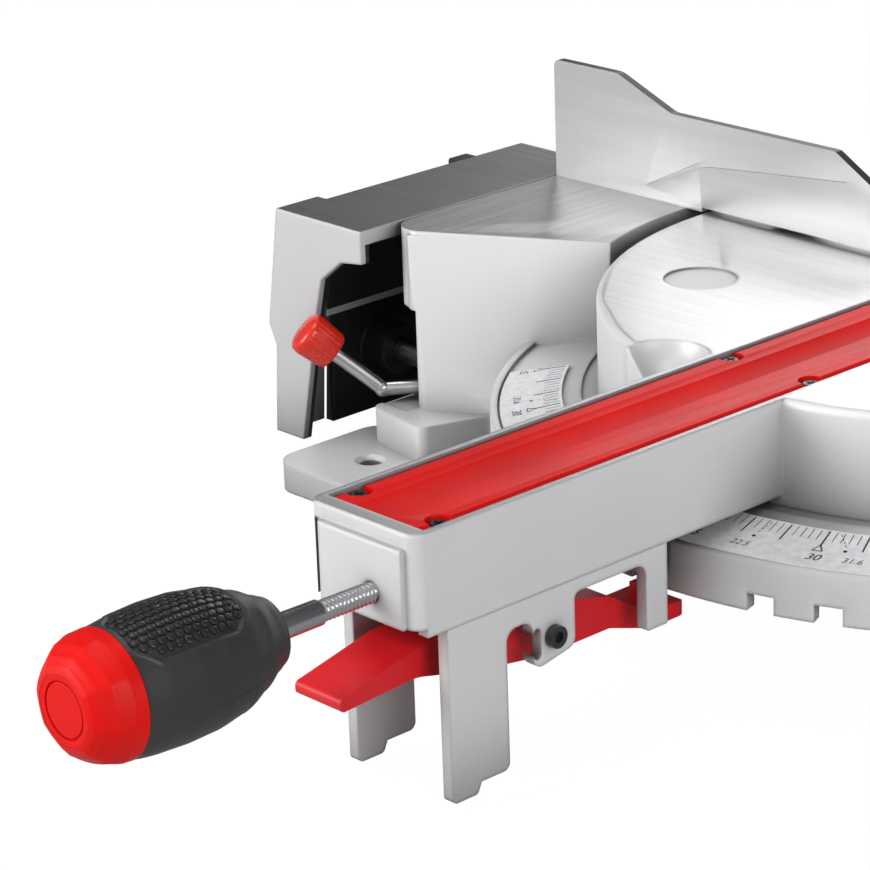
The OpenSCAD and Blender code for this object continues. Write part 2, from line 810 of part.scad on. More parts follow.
module turntable() {
    color(silver) difference() {
        union() {
            difference() {
                union() {
                    turntable_shape();
                    arm_shape();
                    box(-neck_half, neck_half, neck_front, bevel_y - bevel_t, seat_z, neck_top);
                    bar_y(0, table_h, 2 * bevel_r, bevel_y - bevel_t, bevel_y);
                    for (x = [-neck_half, neck_half - arm_wall]) plate_x(x, x + arm_wall)
                        polygon([[body_r - over, neck_top - over], [bevel_y - bevel_t + over,
                        neck_top - over], [bevel_y - bevel_t + over, table_h + bevel_r / 2]]);
                }
                box(-arm_w / 2 + arm_wall, arm_w / 2 - arm_wall, -arm_front + arm_wall, -body_r + over,
                    arm_low - over, table_h - table_t);
                box(-neck_half + arm_wall, neck_half - arm_wall, body_r - over, bevel_y - bevel_t - over,
                    seat_z - over, neck_top - arm_wall);
                box(-arm_w / 2 - over, arm_w / 2 + over, -arm_front - over, -arm_front + arm_wall,
                    arm_low - over, arm_low + front_lift);
                box(-arm_w / 2 + arm_wall, arm_w / 2 - arm_wall, -body_r - over, -body_r + skirt_t + over,
                    seat_z - over, arm_low + over);
            }
            box(-scoop_x - scoop_r, -arm_w / 2 + arm_wall, -scoop_y, -scoop_y + scoop_r,
                table_h - 2 * table_t, table_h - over);
            bar_y(lock_x, lock_z, nut_d, -arm_front + over, -arm_front + arm_wall + nut_len);
            box(-arm_w / 2 + panel_groove + over, arm_w / 2 - arm_round, -arm_front - panel_proud,
            -arm_front + over, arm_low + front_lift, panel_top);
        }
        finger_hollow();
        box(-recess_half, recess_half, -insert_front - fit, insert_back + fit, table_h - insert_t,
            table_h + over);
        box(-arm_w / 2 + 2, -arm_w / 2 + panel_groove, -arm_front - over, -arm_front + 2,
            arm_low - over, panel_top);
        bar_y(lock_x, lock_z, lock_d + 2 * fit, -arm_front - panel_proud - over,
            -arm_front + arm_wall + nut_len + over);
        post(0, 0, pivot_d + 2 * fit, seat_z - over, table_h - table_t);
        post(-dial_x, -dial_y, 2 * dial_r, table_h - dial_depth, table_h + over);
        for (y = insert_screw_y) both() post(insert_screw_x, -y, screw_d + 2 * snug,
            table_h - table_t - over, table_h);
        bar_y(0, table_h, bevel_bolt_d + 2 * fit, bevel_y - bevel_t - over, bevel_y + over);
        bar_y(0, table_h, bevel_nut_d + 2, bevel_y - bevel_t - bevel_head_h - 2, bevel_y - bevel_t);
    }
}

// Kerf insert and its screws
slot_half = 2.2;
slot_blade = 0.5;
slot_deep = 1.2;
screw_d = 4;
screw_head_d = 8;
screw_head_h = 2.4;
screw_floor = 1.6;
insert_screw_y = [insert_screw_front, insert_screw_front - insert_screw_step,
    insert_screw_front - 2 * insert_screw_step];
insert_top = table_h - insert_drop;
insert_low = table_h - insert_t + snug;
step_x = insert_w / 2 - edge_w;

module kerf_insert() {
    color(red) difference() {
        plate_y(-insert_front, insert_back) polygon([
            [-insert_w / 2, insert_low], [-insert_w / 2, insert_top - edge_drop],
            [-insert_w / 2 + edge_w / 2, insert_top], [-slope_x, insert_top],
            [-kerf_left, insert_low + kerf_floor], [kerf_right, insert_low + kerf_floor],
            [kerf_right, insert_top], [step_x, insert_top],
            [insert_w / 2, insert_top - edge_drop], [insert_w / 2, insert_low]]);
        for (y = insert_screw_y) both() {
            post(insert_screw_x, -y, screw_d + 2 * fit, insert_low - over, table_h);
            post(insert_screw_x, -y, screw_head_d + 2, insert_low + screw_floor, table_h);
        }
    }
}

module insert_screws() {
    color(black) for (y = insert_screw_y) both() {
        post(insert_screw_x, -y, screw_d, table_h - table_t, insert_low + screw_floor + over);
        difference() {
            translate([insert_screw_x, -y, insert_low + screw_floor]) rotate_extrude()
                polygon([[0, 0], [screw_head_d / 2, 0], [screw_head_d / 2 - 1, screw_head_h], [0,
                screw_head_h]]);
            for (a = [0, 90]) translate([insert_screw_x, -y,
            insert_low + screw_floor + screw_head_h]) rotate([0, 0, a])
                box(-slot_half, slot_half, -slot_blade, slot_blade, -slot_deep, over);
        }
    }
}

// Pointer over the mitre scale, at the arm's left edge
pointer_head = 6;
pointer_tab_h = 12;
pointer_half = 4;
pointer_x = arm_w / 2 + 1;
pointer_t = 1.5;
pointer_z = ring_in_z + 2.5;
pointer_tip = 182;

module mitre_pointer() {
    root = -body_r - gap;
    color(red) {
        plate_z(pointer_z, pointer_z + pointer_t) polygon([
            [-pointer_x - 2 * pointer_half, root], [-arm_w / 2 - snug, root],
            [-arm_w / 2 - snug, -pointer_tip + pointer_head], [-pointer_x, -pointer_tip + pointer_head],
            [-pointer_x - pointer_half, -pointer_tip], [-pointer_x - 2 * pointer_half,
                -pointer_tip + pointer_head]]);
        box(-pointer_x - gap, -arm_w / 2 - snug, -pointer_tip + pointer_head, root, pointer_z,
            pointer_z + pointer_tab_h);
    }
}

// Bracket under the arm, with the detent lever
crease_y = 319;
shin_low = 8.3;
arch_front = 303;
arch_rear = 290;
arch_crown = 62;
tab_low = 42;
tab_back = 269;
tab_back_z = 46;
post_front = 232;
post_back = 221;
post_low = 39;
flange_t = 5;
flange_front = 312;
slot_y = 286;
slot_z = 46;
slot_len = 12;
slot_w = 4;
bracket_in = arm_w / 2 - bracket_t;
pin_head_d = 8.5;
pin_head_h = 3;

module bracket_plate() {
    polygon(rounded([
        [-bracket_front, arm_low - snug], [-bracket_front, bracket_low, 2], [-crease_y, bracket_low, 2],
        [-crease_y + 2, shin_low], [-arch_front, shin_low, 3], [-arch_front, arch_crown, wing_wall],
        [-arch_rear, arch_crown, wing_wall], [-arch_rear, tab_low, 4], [-tab_back, tab_back_z, 4],
        [-tab_back, arm_low - flange_t, 3], [-post_front, arm_low - flange_t, wing_wall],
        [-post_front, post_low, 1], [-post_back, post_low, 1], [-post_back, arm_low - snug]]));
}

module arm_bracket() {
    color(silver) difference() {
        union() {
            both() plate_x(bracket_in, arm_w / 2) bracket_plate();
            box(-arm_w / 2 + over, arm_w / 2 - over, -flange_front, -post_back, arm_low - flange_t,
            arm_low - snug);
            box(-arm_w / 2 + over, arm_w / 2 - over, -post_front, -post_back, arm_low - 2 * flange_t,
            arm_low - snug);
            mirror([1, 0, 0]) plate_x(arm_w / 2 - 2.5 * bracket_t, arm_w / 2 - over) polygon([
                [-tab_back, arm_low - over], [-post_front - over, arm_low - over], [-post_front - over,
                post_low + 8],
                [-tab_back + 14, arm_low - 2 * flange_t], [-tab_back, arm_low - 2 * flange_t]]);
        }
        bar_x(-detent_y, detent_z, detent_d + 2 * snug, -arm_w, arm_w);
        for (z = [slot_z, slot_z + slot_len - slot_w])
            bar_x(-slot_y - slot_w / 2, z + slot_w / 2, slot_w, bracket_in - over, arm_w);
        box(bracket_in - over, arm_w, -slot_y - slot_w, -slot_y, slot_z + slot_w / 2,
            slot_z + slot_len - slot_w / 2);
    }
}

module bracket_screw() {
    color(black) both() difference() {
        bar_x(-detent_y, detent_z, pin_head_d, arm_w / 2, arm_w / 2 + pin_head_h);
        translate([arm_w / 2 + 1, -detent_y, detent_z]) rotate([0, 90, 0]) cylinder(d = 4.6,
            h = pin_head_h, $fn = 6);
    }
}

module detent_pin() {
    color(steel) bar_x(-detent_y, detent_z, detent_d, -arm_w / 2, arm_w / 2);
}

module detent_spring() {
    color(steel) difference() {
        bar_x(-detent_y, detent_z, detent_d + 7, -bracket_in + over, -detent_w / 2 - over);
        bar_x(-detent_y, detent_z, detent_d + 2 * snug, -arm_w, arm_w);
    }
}

// Detent lever, drawn released, with its tooth just under the ring's skirt
lever_nose = 9;
lever_back = ring_r - lever_nose;
lever_low = 30;
lever_top = ring_low_z - notch_h;
lever_knee_y = 236;
lever_knee_low = 37;
lever_knee_top = 50;
lever_hub_high = 62.5;
tooth_len = 8;
tooth_out = 2;
tooth_front = ring_r + tooth_out;
tooth_back = ring_r - tooth_len;
paddle_top = 60;
paddle_y = 332;
paddle_tip_h = 5;
paddle_tip_z = 47;

module detent_lever() {
    color(red) difference() {
        union() {
            plate_x(-detent_w / 2, detent_w / 2) polygon(rounded([
                [-detent_tip, paddle_tip_z, 2], [-detent_tip, paddle_tip_z + paddle_tip_h, 2],
                [-paddle_y, paddle_top, 20], [-arch_rear, lever_hub_high - over, 10],
                [-detent_y + 8, lever_hub_high - 4, 6], [-lever_knee_y, lever_knee_top, 4],
                [-ring_r - tooth_len, lever_top, 4], [-lever_back, lever_top],
                [-lever_back, lever_low, 1], [-ring_r - tooth_len, lever_low, 4],
                [-lever_knee_y, lever_knee_low, 4], [-detent_y + 10, lever_knee_low, 4],
                [-arch_front, tab_low, 10], [-paddle_y, paddle_tip_z + 2, 20]]));
            box(-notch_w / 2 + gap / 2, notch_w / 2 - gap / 2, -tooth_front, -tooth_back,
                lever_top - over, ring_low_z - gap);
        }
        bar_x(-detent_y, detent_z, detent_d + 2 * fit, -arm_w, arm_w);
    }
}

// Lock rod, handle and lock shoe
rod_in_grip = 26;
nut_in_arm = 16;
grip_bore_deep = 27;
shoe_half_right = 14;
thread_end = 368;
shoe_out = 10.5;
shoe_front = ring_r + shoe_out;
shoe_gap = 1.2;
shoe_low = 52;
shoe_high = 92;
shoe_bore = 7;
rod_end = shoe_front - 5;
handle_front = handle_back + handle_len;
grip_end = handle_front - cap_len;
// Width of the handle along its length, as shares of its largest width
grip_share = [0.42, 0.55, 0.78, 0.92, 0.99, 1, 0.97, 0.93];
cap_share = [0.93, 0.9, 0.72, 0.45];
cap_disc_r = 10.5;

module lock_rod() {
    color(steel) {
        bar_y(lock_x, lock_z, lock_d, -thread_end - rod_in_grip, -arm_front - panel_proud - nut_in_arm);
        bar_y(lock_x, lock_z, lock_d, -arm_front - panel_proud - nut_in_arm - snug, -rod_end);
    }
}

module handle_grip() {
    n = len(grip_share) - 1;
    color(black) difference() {
        spun_y(lock_x, lock_z) polygon(concat(
            [[0, -grip_end]], [for (i = [n:-1:0]) [grip_share[i] * handle_d / 2,
                -handle_back - i * (grip_end - handle_back) / n]], [[0, -handle_back]]));
        bar_y(lock_x, lock_z, lock_d + 2 * snug, -thread_end - grip_bore_deep, -handle_back + over);
    }
}

module handle_cap() {
    n = len(cap_share) - 1;
    color(red) spun_y(lock_x, lock_z) polygon(concat(
        [[0, -handle_front], [cap_disc_r, -handle_front]],
        [for (i = [n:-1:0]) [cap_share[i] * handle_d / 2, -grip_end - snug - i * (cap_len - 2) / n]],
        [[0, -grip_end - snug]]));
}

module lock_shoe() {
    color(steel) difference() {
        box(-shoe_x, shoe_half_right, -shoe_front, -ring_r - shoe_gap, shoe_low, shoe_high);
        bar_y(lock_x, lock_z, lock_d + 2 * fit, -shoe_front - over, -shoe_front + shoe_bore);
    }
}

// Bevel joint at the turntable's back
bevel_bolt_out = 24;
bevel_nut_h = 6;
bevel_nut_in = 22;
housing_more = 4;
column_pocket = 10;
column_web = 8;
column_head = 12;
bevel_marker_half = 4;
bevel_marker_up = 6;
bevel_lever_d = 12;
bevel_lever_out = 22;
bevel_lever_drop = 24;
bevel_knob_d = 22;
bevel_hub = 20;
bevel_t = 10;
face_gap = 0.3;
bevel_nut_d = 24;
bevel_head_h = 8;
column_front = 246;
column_back = 286;
column_half = 40;
block_back = 312;
block_low = 305;
block_high = 360;
block_half = 54;
bush_d = rail_d + 6;
bush_len = 12;
scale_ring_t = 1.5;
bevel_lever_len = 62;
bevel_face = bevel_y + face_gap;

module bevel_scale() {
    color(silver) translate([0, bevel_y - bevel_t, table_h]) rotate([-90, 0, 0]) rotate([0, 0, -150])
        rotate_extrude(angle = 120, $fn = fine)
            polygon([[bevel_r + snug, 0], [bevel_r + scale_ring_t, 0], [bevel_r + scale_ring_t,
            bevel_t], [bevel_r + snug, bevel_t]]);
}

module bevel_bolt() {
    color(steel) {
        bar_y(0, table_h, bevel_bolt_d, bevel_y - bevel_t - snug, column_back + bevel_bolt_out);
        bar_y(0, table_h, bevel_nut_d, bevel_y - bevel_t - bevel_head_h, bevel_y - bevel_t);
        bar_y(0, table_h, bevel_nut_d, column_back + bevel_nut_in,
            column_back + bevel_nut_in + bevel_nut_h);
    }
}

module bevel_arm() {
    color(silver) difference() {
        union() {
            bar_y(0, table_h, 2 * bevel_r + housing_more, bevel_face, column_front + housing_more);
            plate_y(column_front, column_back) polygon(rounded([
                [-column_half, table_h - bevel_r / 2, 20], [column_half, table_h - bevel_r / 2, 20],
                [column_half, table_h + bevel_r, 30], [block_half, block_low, 10],
                [block_half, block_high, 8], [-block_half, block_high, 8],
                [-block_half, block_low, 10], [-column_half, table_h + bevel_r, 30]]));
            plate_y(column_front, block_back) polygon(rounded([
                [-block_half, block_low, 8], [block_half, block_low, 8],
                [block_half, block_high, 8], [-block_half, block_high, 8]]));
        }
        plate_y(column_front + column_pocket, column_back + over) polygon(rounded([
            [-column_half + column_pocket, table_h + bevel_nut_d, column_web],
        [column_half - column_pocket, table_h + bevel_nut_d, column_web],
            [column_half - column_web, block_low - column_head, column_web],
        [-column_half + column_web, block_low - column_head, column_web]]));
        bar_y(0, table_h, bevel_bolt_d + 2 * fit, bevel_face - over, column_back + over);
        both() {
            for (y = [column_front, block_back - bush_len])
                bar_y(rail_x, rail_z, bush_d + 2 * snug, y - over * (y == column_front ? 1 : 0),
                    y + bush_len + over * (y == column_front ? 0 : 1));
            bar_y(rail_x, rail_z, rail_d + 2 * gap, column_front - over, block_back + over);
        }
        bar_x((column_front + block_back) / 2, rail_z, lock_d + 2 * fit, rail_x, block_half + over);
    }
}

module rail_bushes() {
    color(grey) both() for (y = [column_front, block_back - bush_len]) difference() {
        bar_y(rail_x, rail_z, bush_d, y, y + bush_len);
        bar_y(rail_x, rail_z, rail_d + 2 * fit, y - over, y + bush_len + over);
    }
}

module bevel_pointer() {
    color(red) plate_y(bevel_y - bevel_t / 2, bevel_face + bevel_t) polygon([
        [-bevel_marker_half, table_h + bevel_r + bevel_marker_up],
        [bevel_marker_half, table_h + bevel_r + bevel_marker_up], [3,
            table_h + bevel_r + 2 + snug + gap / 2], [-3, table_h + bevel_r + 2 + snug + gap / 2]]);
}

module bevel_lock_lever() {
    y0 = column_back + face_gap;
    color(black) difference() {
        union() {
            bar_y(0, table_h, bevel_nut_d + bevel_nut_h, y0, y0 + bevel_hub);
            rod_between([0, y0 + bevel_hub / 2, table_h],
            [bevel_lever_len, y0 + bevel_lever_out, table_h - bevel_lever_drop], bevel_lever_d);
            translate([bevel_lever_len, y0 + bevel_lever_out,
                table_h - bevel_lever_drop]) sphere(d = bevel_knob_d);
        }
        bar_y(0, table_h, bevel_bolt_d + 2 * fit, y0 - over, y0 + bevel_lever_out);
    }
}

module rail_lock_knob() {
    y = (column_front + block_back) / 2;
    color(black) {
        bar_x(y, rail_z, lock_d, rail_x + rail_d / 2 + gap, block_half + face_gap + over);
        difference() {
            bar_x(y, rail_z, rail_knob_d, block_half + face_gap, block_half + rail_knob_len);
            for (i = [0:7]) translate([block_half + rail_lobe_in, y, rail_z]) rotate([i * 45, 0, 0])
                translate([0, rail_lobe_r, 0]) rotate([0, 90, 0]) cylinder(d = rail_lobe_d,
                    h = rail_knob_len);
        }
    }
}

// Carriage at the rails' front ends
rail_knob_d = 34;
rail_knob_len = 20;
rail_lobe_d = 8;
rail_lobe_r = 19;
rail_lobe_in = 4;
lug_root = 8;
pin_recess = 14;
pin_body_d = 23;
latch_out = 4;
latch_knob_len = 7;
carriage_front = 206;
carriage_back = 238;
carriage_half = 54;
carriage_low = 272;
carriage_high = 354;
lug_in = 30;
lug_out = 42;
lug_r = 17;
rail_front = 214;
rail_end = 520;
end_cap_t = 14;
latch_d = 6;
latch_r = 11.5;
latch_angle = 215;
latch_knob_d = 14;

module carriage() {
    color(silver) difference() {
        union() {
            soft_box(-carriage_half, carriage_half, carriage_front, carriage_back, carriage_low,
            carriage_high, 4);
            both() plate_x(lug_in, lug_out) {
                translate([pivot_y, pivot_z]) circle(r = lug_r);
                polygon([[pivot_y, pivot_z - lug_r], [carriage_front + over, pivot_z - lug_r - lug_root],
                    [carriage_front + over, pivot_z + lug_r + lug_root], [pivot_y, pivot_z + lug_r]]);
            }
        }
        both() bar_y(rail_x, rail_z, rail_d + 2 * snug, rail_front, carriage_back + over);
        bar_x(pivot_y, pivot_z, chop_pin_d + 2 * snug, -lug_out - over, lug_out + over);
        bar_x(pivot_y + latch_r * cos(latch_angle), pivot_z + latch_r * sin(latch_angle), latch_d + 2 * fit,
            -lug_out - over, -lug_in + over);
    }
}

module slide_rails() {
    color("lightgray") both() bar_y(rail_x, rail_z, rail_d, rail_front, rail_end);
}

module rail_end_cap() {
    color(black) plate_y(rail_end + snug, rail_end + end_cap_t) polygon(rounded([
        [-rail_x - rail_d, rail_z - rail_d * 0.7, 12], [rail_x + rail_d, rail_z - rail_d * 0.7, 12],
        [rail_x + rail_d, rail_z + rail_d * 0.7, 12], [-rail_x - rail_d, rail_z + rail_d * 0.7, 12]]));
}

module chop_pin() {
    color(steel) {
        bar_x(pivot_y, pivot_z, chop_pin_d, -lug_out, lug_out);
    }
}

module chop_spring() {
    color(steel) difference() {
        bar_x(pivot_y, pivot_z, pin_body_d, -lug_in + pin_recess, lug_in - pin_recess);
        bar_x(pivot_y, pivot_z, chop_pin_d + 2 * snug, -lug_in, lug_in);
    }
}

module latch_pin() {
    y = pivot_y + latch_r * cos(latch_angle);
    z = pivot_z + latch_r * sin(latch_angle);
    color(steel) {
        bar_x(y, z, latch_d, -lug_out - latch_out, -lug_in);
        bar_x(y, z, latch_knob_d, -lug_out - latch_out - latch_knob_len, -lug_out - latch_out + snug);
    }
}

// Head, drawn lowered and slid back, then raised about the chop pivot
blade_r = blade_d / 2;
arbor_z = table_h - blade_dip + blade_r;
motor_y = arbor_y + motor_dy;
motor_z = arbor_z + motor_dz;
arbor = [arbor_y, arbor_z];
motor = [motor_y, motor_z];
pivot = [pivot_y, pivot_z];
lower_in_r = blade_r + guard_gap;
lower_out_r = lower_in_r + guard_t;
drum_in_r = lower_out_r + guard_gap;
drum_r = drum_in_r + cover_t;
chamber = cover_half - cover_t;
lower_half = chamber - 4;
// Span of the upper guard, in degrees from below towards the back
drum_from = 95;
drum_to = 280;
lower_from = -75;
boss_r = 26;
boss_low = 8;
// Gearbox on the right of the blade
gear_out = 60;
gear_wall = 5;
gear_case_r = 42;
motor_case_r = 45;
gear_from = 34;
gear_to = 44;
gear_share = 0.72;
shaft_gap = norm(motor - arbor);
gear_teeth = 40;
pinion_teeth = 15;
arm_in = cover_half + snug;
arm_out = lug_in - 2;
barrel_half = lug_in - 0.5;
barrel_bore = 26;
spindle_d = 16;
bearing_d = 32;
bearing_w = 9;
shaft_d = 12;
motor_wall = 4;
motor_end = gear_out + motor_len;
end_len = 17;
brush_d = 14;
end_round = 6;
vent_half = 2.5;
vent_in = 4;
vent_out = 9;
brush_bore = 10;
brush_seat = 8;
brush_len = 11;
brush_tab = 4;
vent_count = 12;
brush_x = motor_end - 20;

module raised() {
    translate([0, pivot_y, pivot_z]) rotate([-chop_angle, 0, 0]) translate([0, -pivot_y,
        -pivot_z]) children();
}

module head_casting() {
    color(silver) raised() difference() {
        union() {
            plate_x(arm_in, gear_out) belt(arbor, gear_case_r, motor, motor_case_r);
            plate_x(arm_in, arm_out) belt(motor, motor_case_r - 6, pivot, lug_r);
            bar_x(pivot_y, pivot_z, 2 * lug_r, -barrel_half, barrel_half);
            bar_x(arbor_y, arbor_z, 2 * boss_r, boss_low, arm_in + over);
        }
        plate_x(arm_in + 2 * gear_wall, gear_out - 2 * gear_wall)
            belt(arbor, gear_case_r - gear_wall, motor, motor_case_r - gear_wall);
        bar_x(pivot_y, pivot_z, chop_pin_d + 2 * fit, -arm_w, arm_w);
        bar_x(pivot_y, pivot_z, barrel_bore, -lug_in + 12, lug_in - 12);
        for (turn = [0, chop_angle])
            bar_x(pivot_y + latch_r * cos(latch_angle + turn), pivot_z + latch_r * sin(latch_angle + turn),
                latch_d + 2 * gap, -lug_in - over, -lug_in + 5);
        bar_x(arbor_y, arbor_z, spindle_d + 4, boss_low - over, gear_out + over);
        bar_x(arbor_y, arbor_z, bearing_d + 2 * snug, arm_in, arm_in + 2 * gear_wall + over);
        bar_x(arbor_y, arbor_z, bearing_d + 2 * snug, gear_out - bearing_w, gear_out + over);
        bar_x(motor_y, motor_z, bearing_d + 2 * snug, gear_out - bearing_w, gear_out + over);
        bar_x(motor_y, motor_z, shaft_d + 4, gear_out - 2 * gear_wall - over, gear_out + over);
    }
}

module head_bearings() {
    color(steel) raised() {
        for (x = [arm_in, gear_out - bearing_w]) difference() {
            bar_x(arbor_y, arbor_z, bearing_d, x, x + bearing_w);
            bar_x(arbor_y, arbor_z, spindle_d + 2 * fit, x - over, x + bearing_w + over);
        }
        for (x = [gear_out - bearing_w, motor_end - bearing_w + end_len / 2]) difference() {
            bar_x(motor_y, motor_z, bearing_d, x, x + bearing_w);
            bar_x(motor_y, motor_z, shaft_d + 2 * fit, x - over, x + bearing_w + over);
        }
    }
}

module upper_guard() {
    color(silver) raised() difference() {
        wheel(arbor_y, arbor_z, drum_from, drum_to) polygon([
            [boss_r + 4, -cover_half], [drum_r, -cover_half], [drum_r, cover_half], [boss_r + snug,
            cover_half],
            [boss_r + snug, chamber], [drum_in_r, chamber], [drum_in_r, -chamber], [boss_r + 4, -chamber]]);
        bar_x(duct_y, duct_z, duct_d - 8, -cover_half - over, -chamber + over);
    }
}

// Dust duct at the guard's left rear
spout_len = 80;
duct_wall = 3;
cover_rim = 24;
plate_cover_t = 2;
cover_flat = 40;
cover_screw_d = 4;
cover_screw_out = 8;
duct_y = 108;
duct_z = 314;
duct_d = 34;
duct_x = 76;

module dust_spout() {
    color(black) raised() difference() {
        union() {
            bar_x(duct_y, duct_z, duct_d, -duct_x, -cover_half - snug);
            translate([-duct_x, duct_y, duct_z]) sphere(d = spout_d);
            bar_y(-duct_x, duct_z, spout_d, duct_y, duct_y + spout_len);
        }
        bar_x(duct_y, duct_z, duct_d - 2 * duct_wall, -duct_x, -cover_half + over);
        translate([-duct_x, duct_y, duct_z]) sphere(d = spout_bore);
        bar_y(-duct_x, duct_z, spout_bore, duct_y, duct_y + spout_len + 1);
    }
}

module blade_cover_plate() {
    color(steel) raised() difference() {
        bar_x(arbor_y, arbor_z, 2 * boss_r + cover_rim, -cover_half - plate_cover_t, -cover_half - snug);
        translate([-cover_half - plate_cover_t - 1, arbor_y - cover_flat, arbor_z - 2 * cover_flat])
            cube([2 * plate_cover_t, 2 * cover_flat, 2 * cover_flat - boss_r * 0.2]);
        for (a = [30, 90, 150]) translate([0, arbor_y + (boss_r + cover_screw_out) * cos(a),
            arbor_z + (boss_r + cover_screw_out) * sin(a)])
            rotate([0, -90, 0]) cylinder(d = cover_screw_d, h = arm_w);
    }
}

module motor_housing() {
    color(black) raised() difference() {
        union() {
            bar_x(motor_y, motor_z, motor_d, gear_out + snug, motor_end);
            for (a = [0:30:330]) translate([0, motor_y, motor_z]) rotate([a, 0, 0])
                box(gear_out + 12, motor_end - 34, -1.5, 1.5, motor_d / 2 - over, motor_d / 2 + 2);
        }
        bar_x(motor_y, motor_z, motor_d - 2 * motor_wall, gear_out - over, motor_end + over);
        for (a = [90, -90]) translate([brush_x, motor_y, motor_z]) rotate([a, 0, 0])
            cylinder(d = brush_d + 2 * snug, h = motor_d);
    }
}

module motor_end_cap() {
    color(black) raised() difference() {
        translate([motor_end + snug, motor_y, motor_z]) rotate([0, 90, 0]) rotate_extrude()
            polygon([[0, 0], [motor_d / 2, 0], [motor_d / 2, end_len - end_round],
                [motor_d / 2 - end_round, end_len], [0, end_len]]);
        bar_x(motor_y, motor_z, bearing_d + 2 * snug, gear_out, motor_end + end_len / 2 + snug);
        for (i = [0:vent_count - 1]) translate([0, motor_y, motor_z]) rotate([i * 360 / vent_count, 0, 0])
            box(motor_end - over, motor_end + end_len + over, -vent_half, vent_half,
                bearing_d / 2 + vent_in, motor_d / 2 - vent_out);
        bar_y(motor_end + end_len / 2, motor_z, brush_bore + 2 * snug, motor_y + motor_d / 2 - brush_seat,
            motor_y + motor_d);
    }
}

module brush_caps() {
    color(black) raised() for (a = [90, -90]) translate([brush_x, motor_y, motor_z]) rotate([a, 0, 0])
        difference() {
            translate([0, 0, motor_d / 2 - vent_out]) cylinder(d = brush_d, h = brush_len);
            translate([-brush_d, -1, motor_d / 2 + 1]) cube([2 * brush_d, 2, brush_tab]);
        }
}

module cord_gland() {
    x = motor_end + end_len / 2;
    y = motor_y + motor_d / 2;
    color(black) raised() difference() {
        union() {
            bar_y(x, motor_z, 10, y - 6, y + 3);
            translate([x, y + 2, motor_z]) rotate([-90, 0, 0]) cylinder(d1 = 15, d2 = 11, h = 26);
        }
        bar_y(x, motor_z, 7, y - 7, y + 29);
    }
}

// Handle on the guard's front and top, as angles from straight up towards the front
grip_root = 10;
grip_tip_round = 22;
grip_open_round = 12;
button_deep = 12;
button_seat = 6;
grip_half = 16;
grip_from = 6;
grip_to = 56;
grip_base = 14;
grip_inner = 46;
grip_outer = 74;
grip_open_from = 15;
grip_open_to = 46;
trigger_half = 7;
trigger_from = 24;
trigger_to = 38;
trigger_out = 8;
trigger_travel = 5;
button_d = 10;
button_angle = 42;
button_out = 5;

function front_of(r, a) = arbor + [-r * sin(a), r * cos(a)];

module handle_outline() {
    n = 10;
    difference() {
        polygon(rounded(concat(
            [concat(front_of(drum_r - grip_root, grip_from), 1), concat(front_of(drum_r + grip_outer,
            grip_from), grip_tip_round)],
            [for (i = [2:n - 2]) front_of(drum_r + grip_outer, grip_from + i * (grip_to - grip_from) / n)],
            [concat(front_of(drum_r + grip_outer, grip_to), grip_tip_round),
                concat(front_of(drum_r - grip_root, grip_to), 1)])));
        polygon(rounded(concat(
            [concat(front_of(drum_r + grip_base, grip_open_from), grip_open_round),
            concat(front_of(drum_r + grip_inner, grip_open_from), grip_open_round)],
            [for (i = [2:n - 2]) front_of(drum_r + grip_inner,
            grip_open_from + i * (grip_open_to - grip_open_from) / n)],
            [concat(front_of(drum_r + grip_inner, grip_open_to), grip_open_round),
            concat(front_of(drum_r + grip_base, grip_open_to), grip_open_round)])));
        translate(arbor) circle(r = drum_r + snug, $fn = fine);
    }
}

module d_handle(x0, x1) {
    color(black) raised() difference() {
        plate_x(x0, x1) handle_outline();
        trigger_shape(trigger_half + gap / 2, 2 * gap, trigger_travel + 2 * gap);
        button_shape(button_d / 2 + fit, grip_half + over, grip_half - button_deep);
    }
}

// Trigger as a block in the grip's inner side
module trigger_shape(half, grow, depth) {
    wheel(arbor_y, arbor_z, 180 + trigger_from - grow, 180 + trigger_to + grow)
        polygon([[drum_r + grip_inner - trigger_out, -half], [drum_r + grip_inner - trigger_out, half],
            [drum_r + grip_inner + depth, half], [drum_r + grip_inner + depth, -half]]);
}

module trigger() {
    color(red) raised() trigger_shape(trigger_half, 0, gap);
}

module button_shape(r, x0, x1) {
    p = front_of(drum_r + (grip_inner + grip_outer) / 2, button_angle);
    bar_x(p[0], p[1], 2 * r, min(x0, x1), max(x0, x1));
}

module lock_off_button() {
    color(red) raised() button_shape(button_d / 2, grip_half - button_seat, grip_half + button_out);
}

// Lower guard, closed round the blade's lower edge
module lower_guard() {
    color("silver", 0.6) raised() wheel(arbor_y, arbor_z, lower_from, lower_from + guard_span) polygon([
        [boss_r + 4, -lower_half], [lower_out_r, -lower_half], [lower_out_r, lower_half],
        [boss_r + fit, lower_half], [boss_r + fit, lower_half - guard_t], [lower_in_r,
            lower_half - guard_t],
        [lower_in_r, -lower_half + guard_t], [boss_r + 4, -lower_half + guard_t]]);
}

// Blade and its drive
flange_d = 44;
flange_w = 5;
bolt_d = 10;
bolt_head_d = 18;

module blade() {
    gullet = 360 / blade_teeth;
    color("lightgray") raised() translate([0, arbor_y, arbor_z]) rotate([0, 90, 0]) difference() {
        translate([0, 0, -blade_t / 2]) linear_extrude(blade_t) difference() {
            polygon([for (i = [0:blade_teeth - 1]) each [
                polar(blade_r, i * gullet), polar(blade_r - 1.2, i * gullet + gullet * 0.42),
                polar(blade_r - tooth_depth, i * gullet + gullet * 0.62),
                polar(blade_r - tooth_depth, i * gullet + gullet * 0.82)]]);
            circle(d = blade_bore + 2 * snug);
            for (i = [0:3]) rotate(i * 90 + 20) translate([blade_r * 0.62, 0]) circle(d = 9);
        }
    }
}

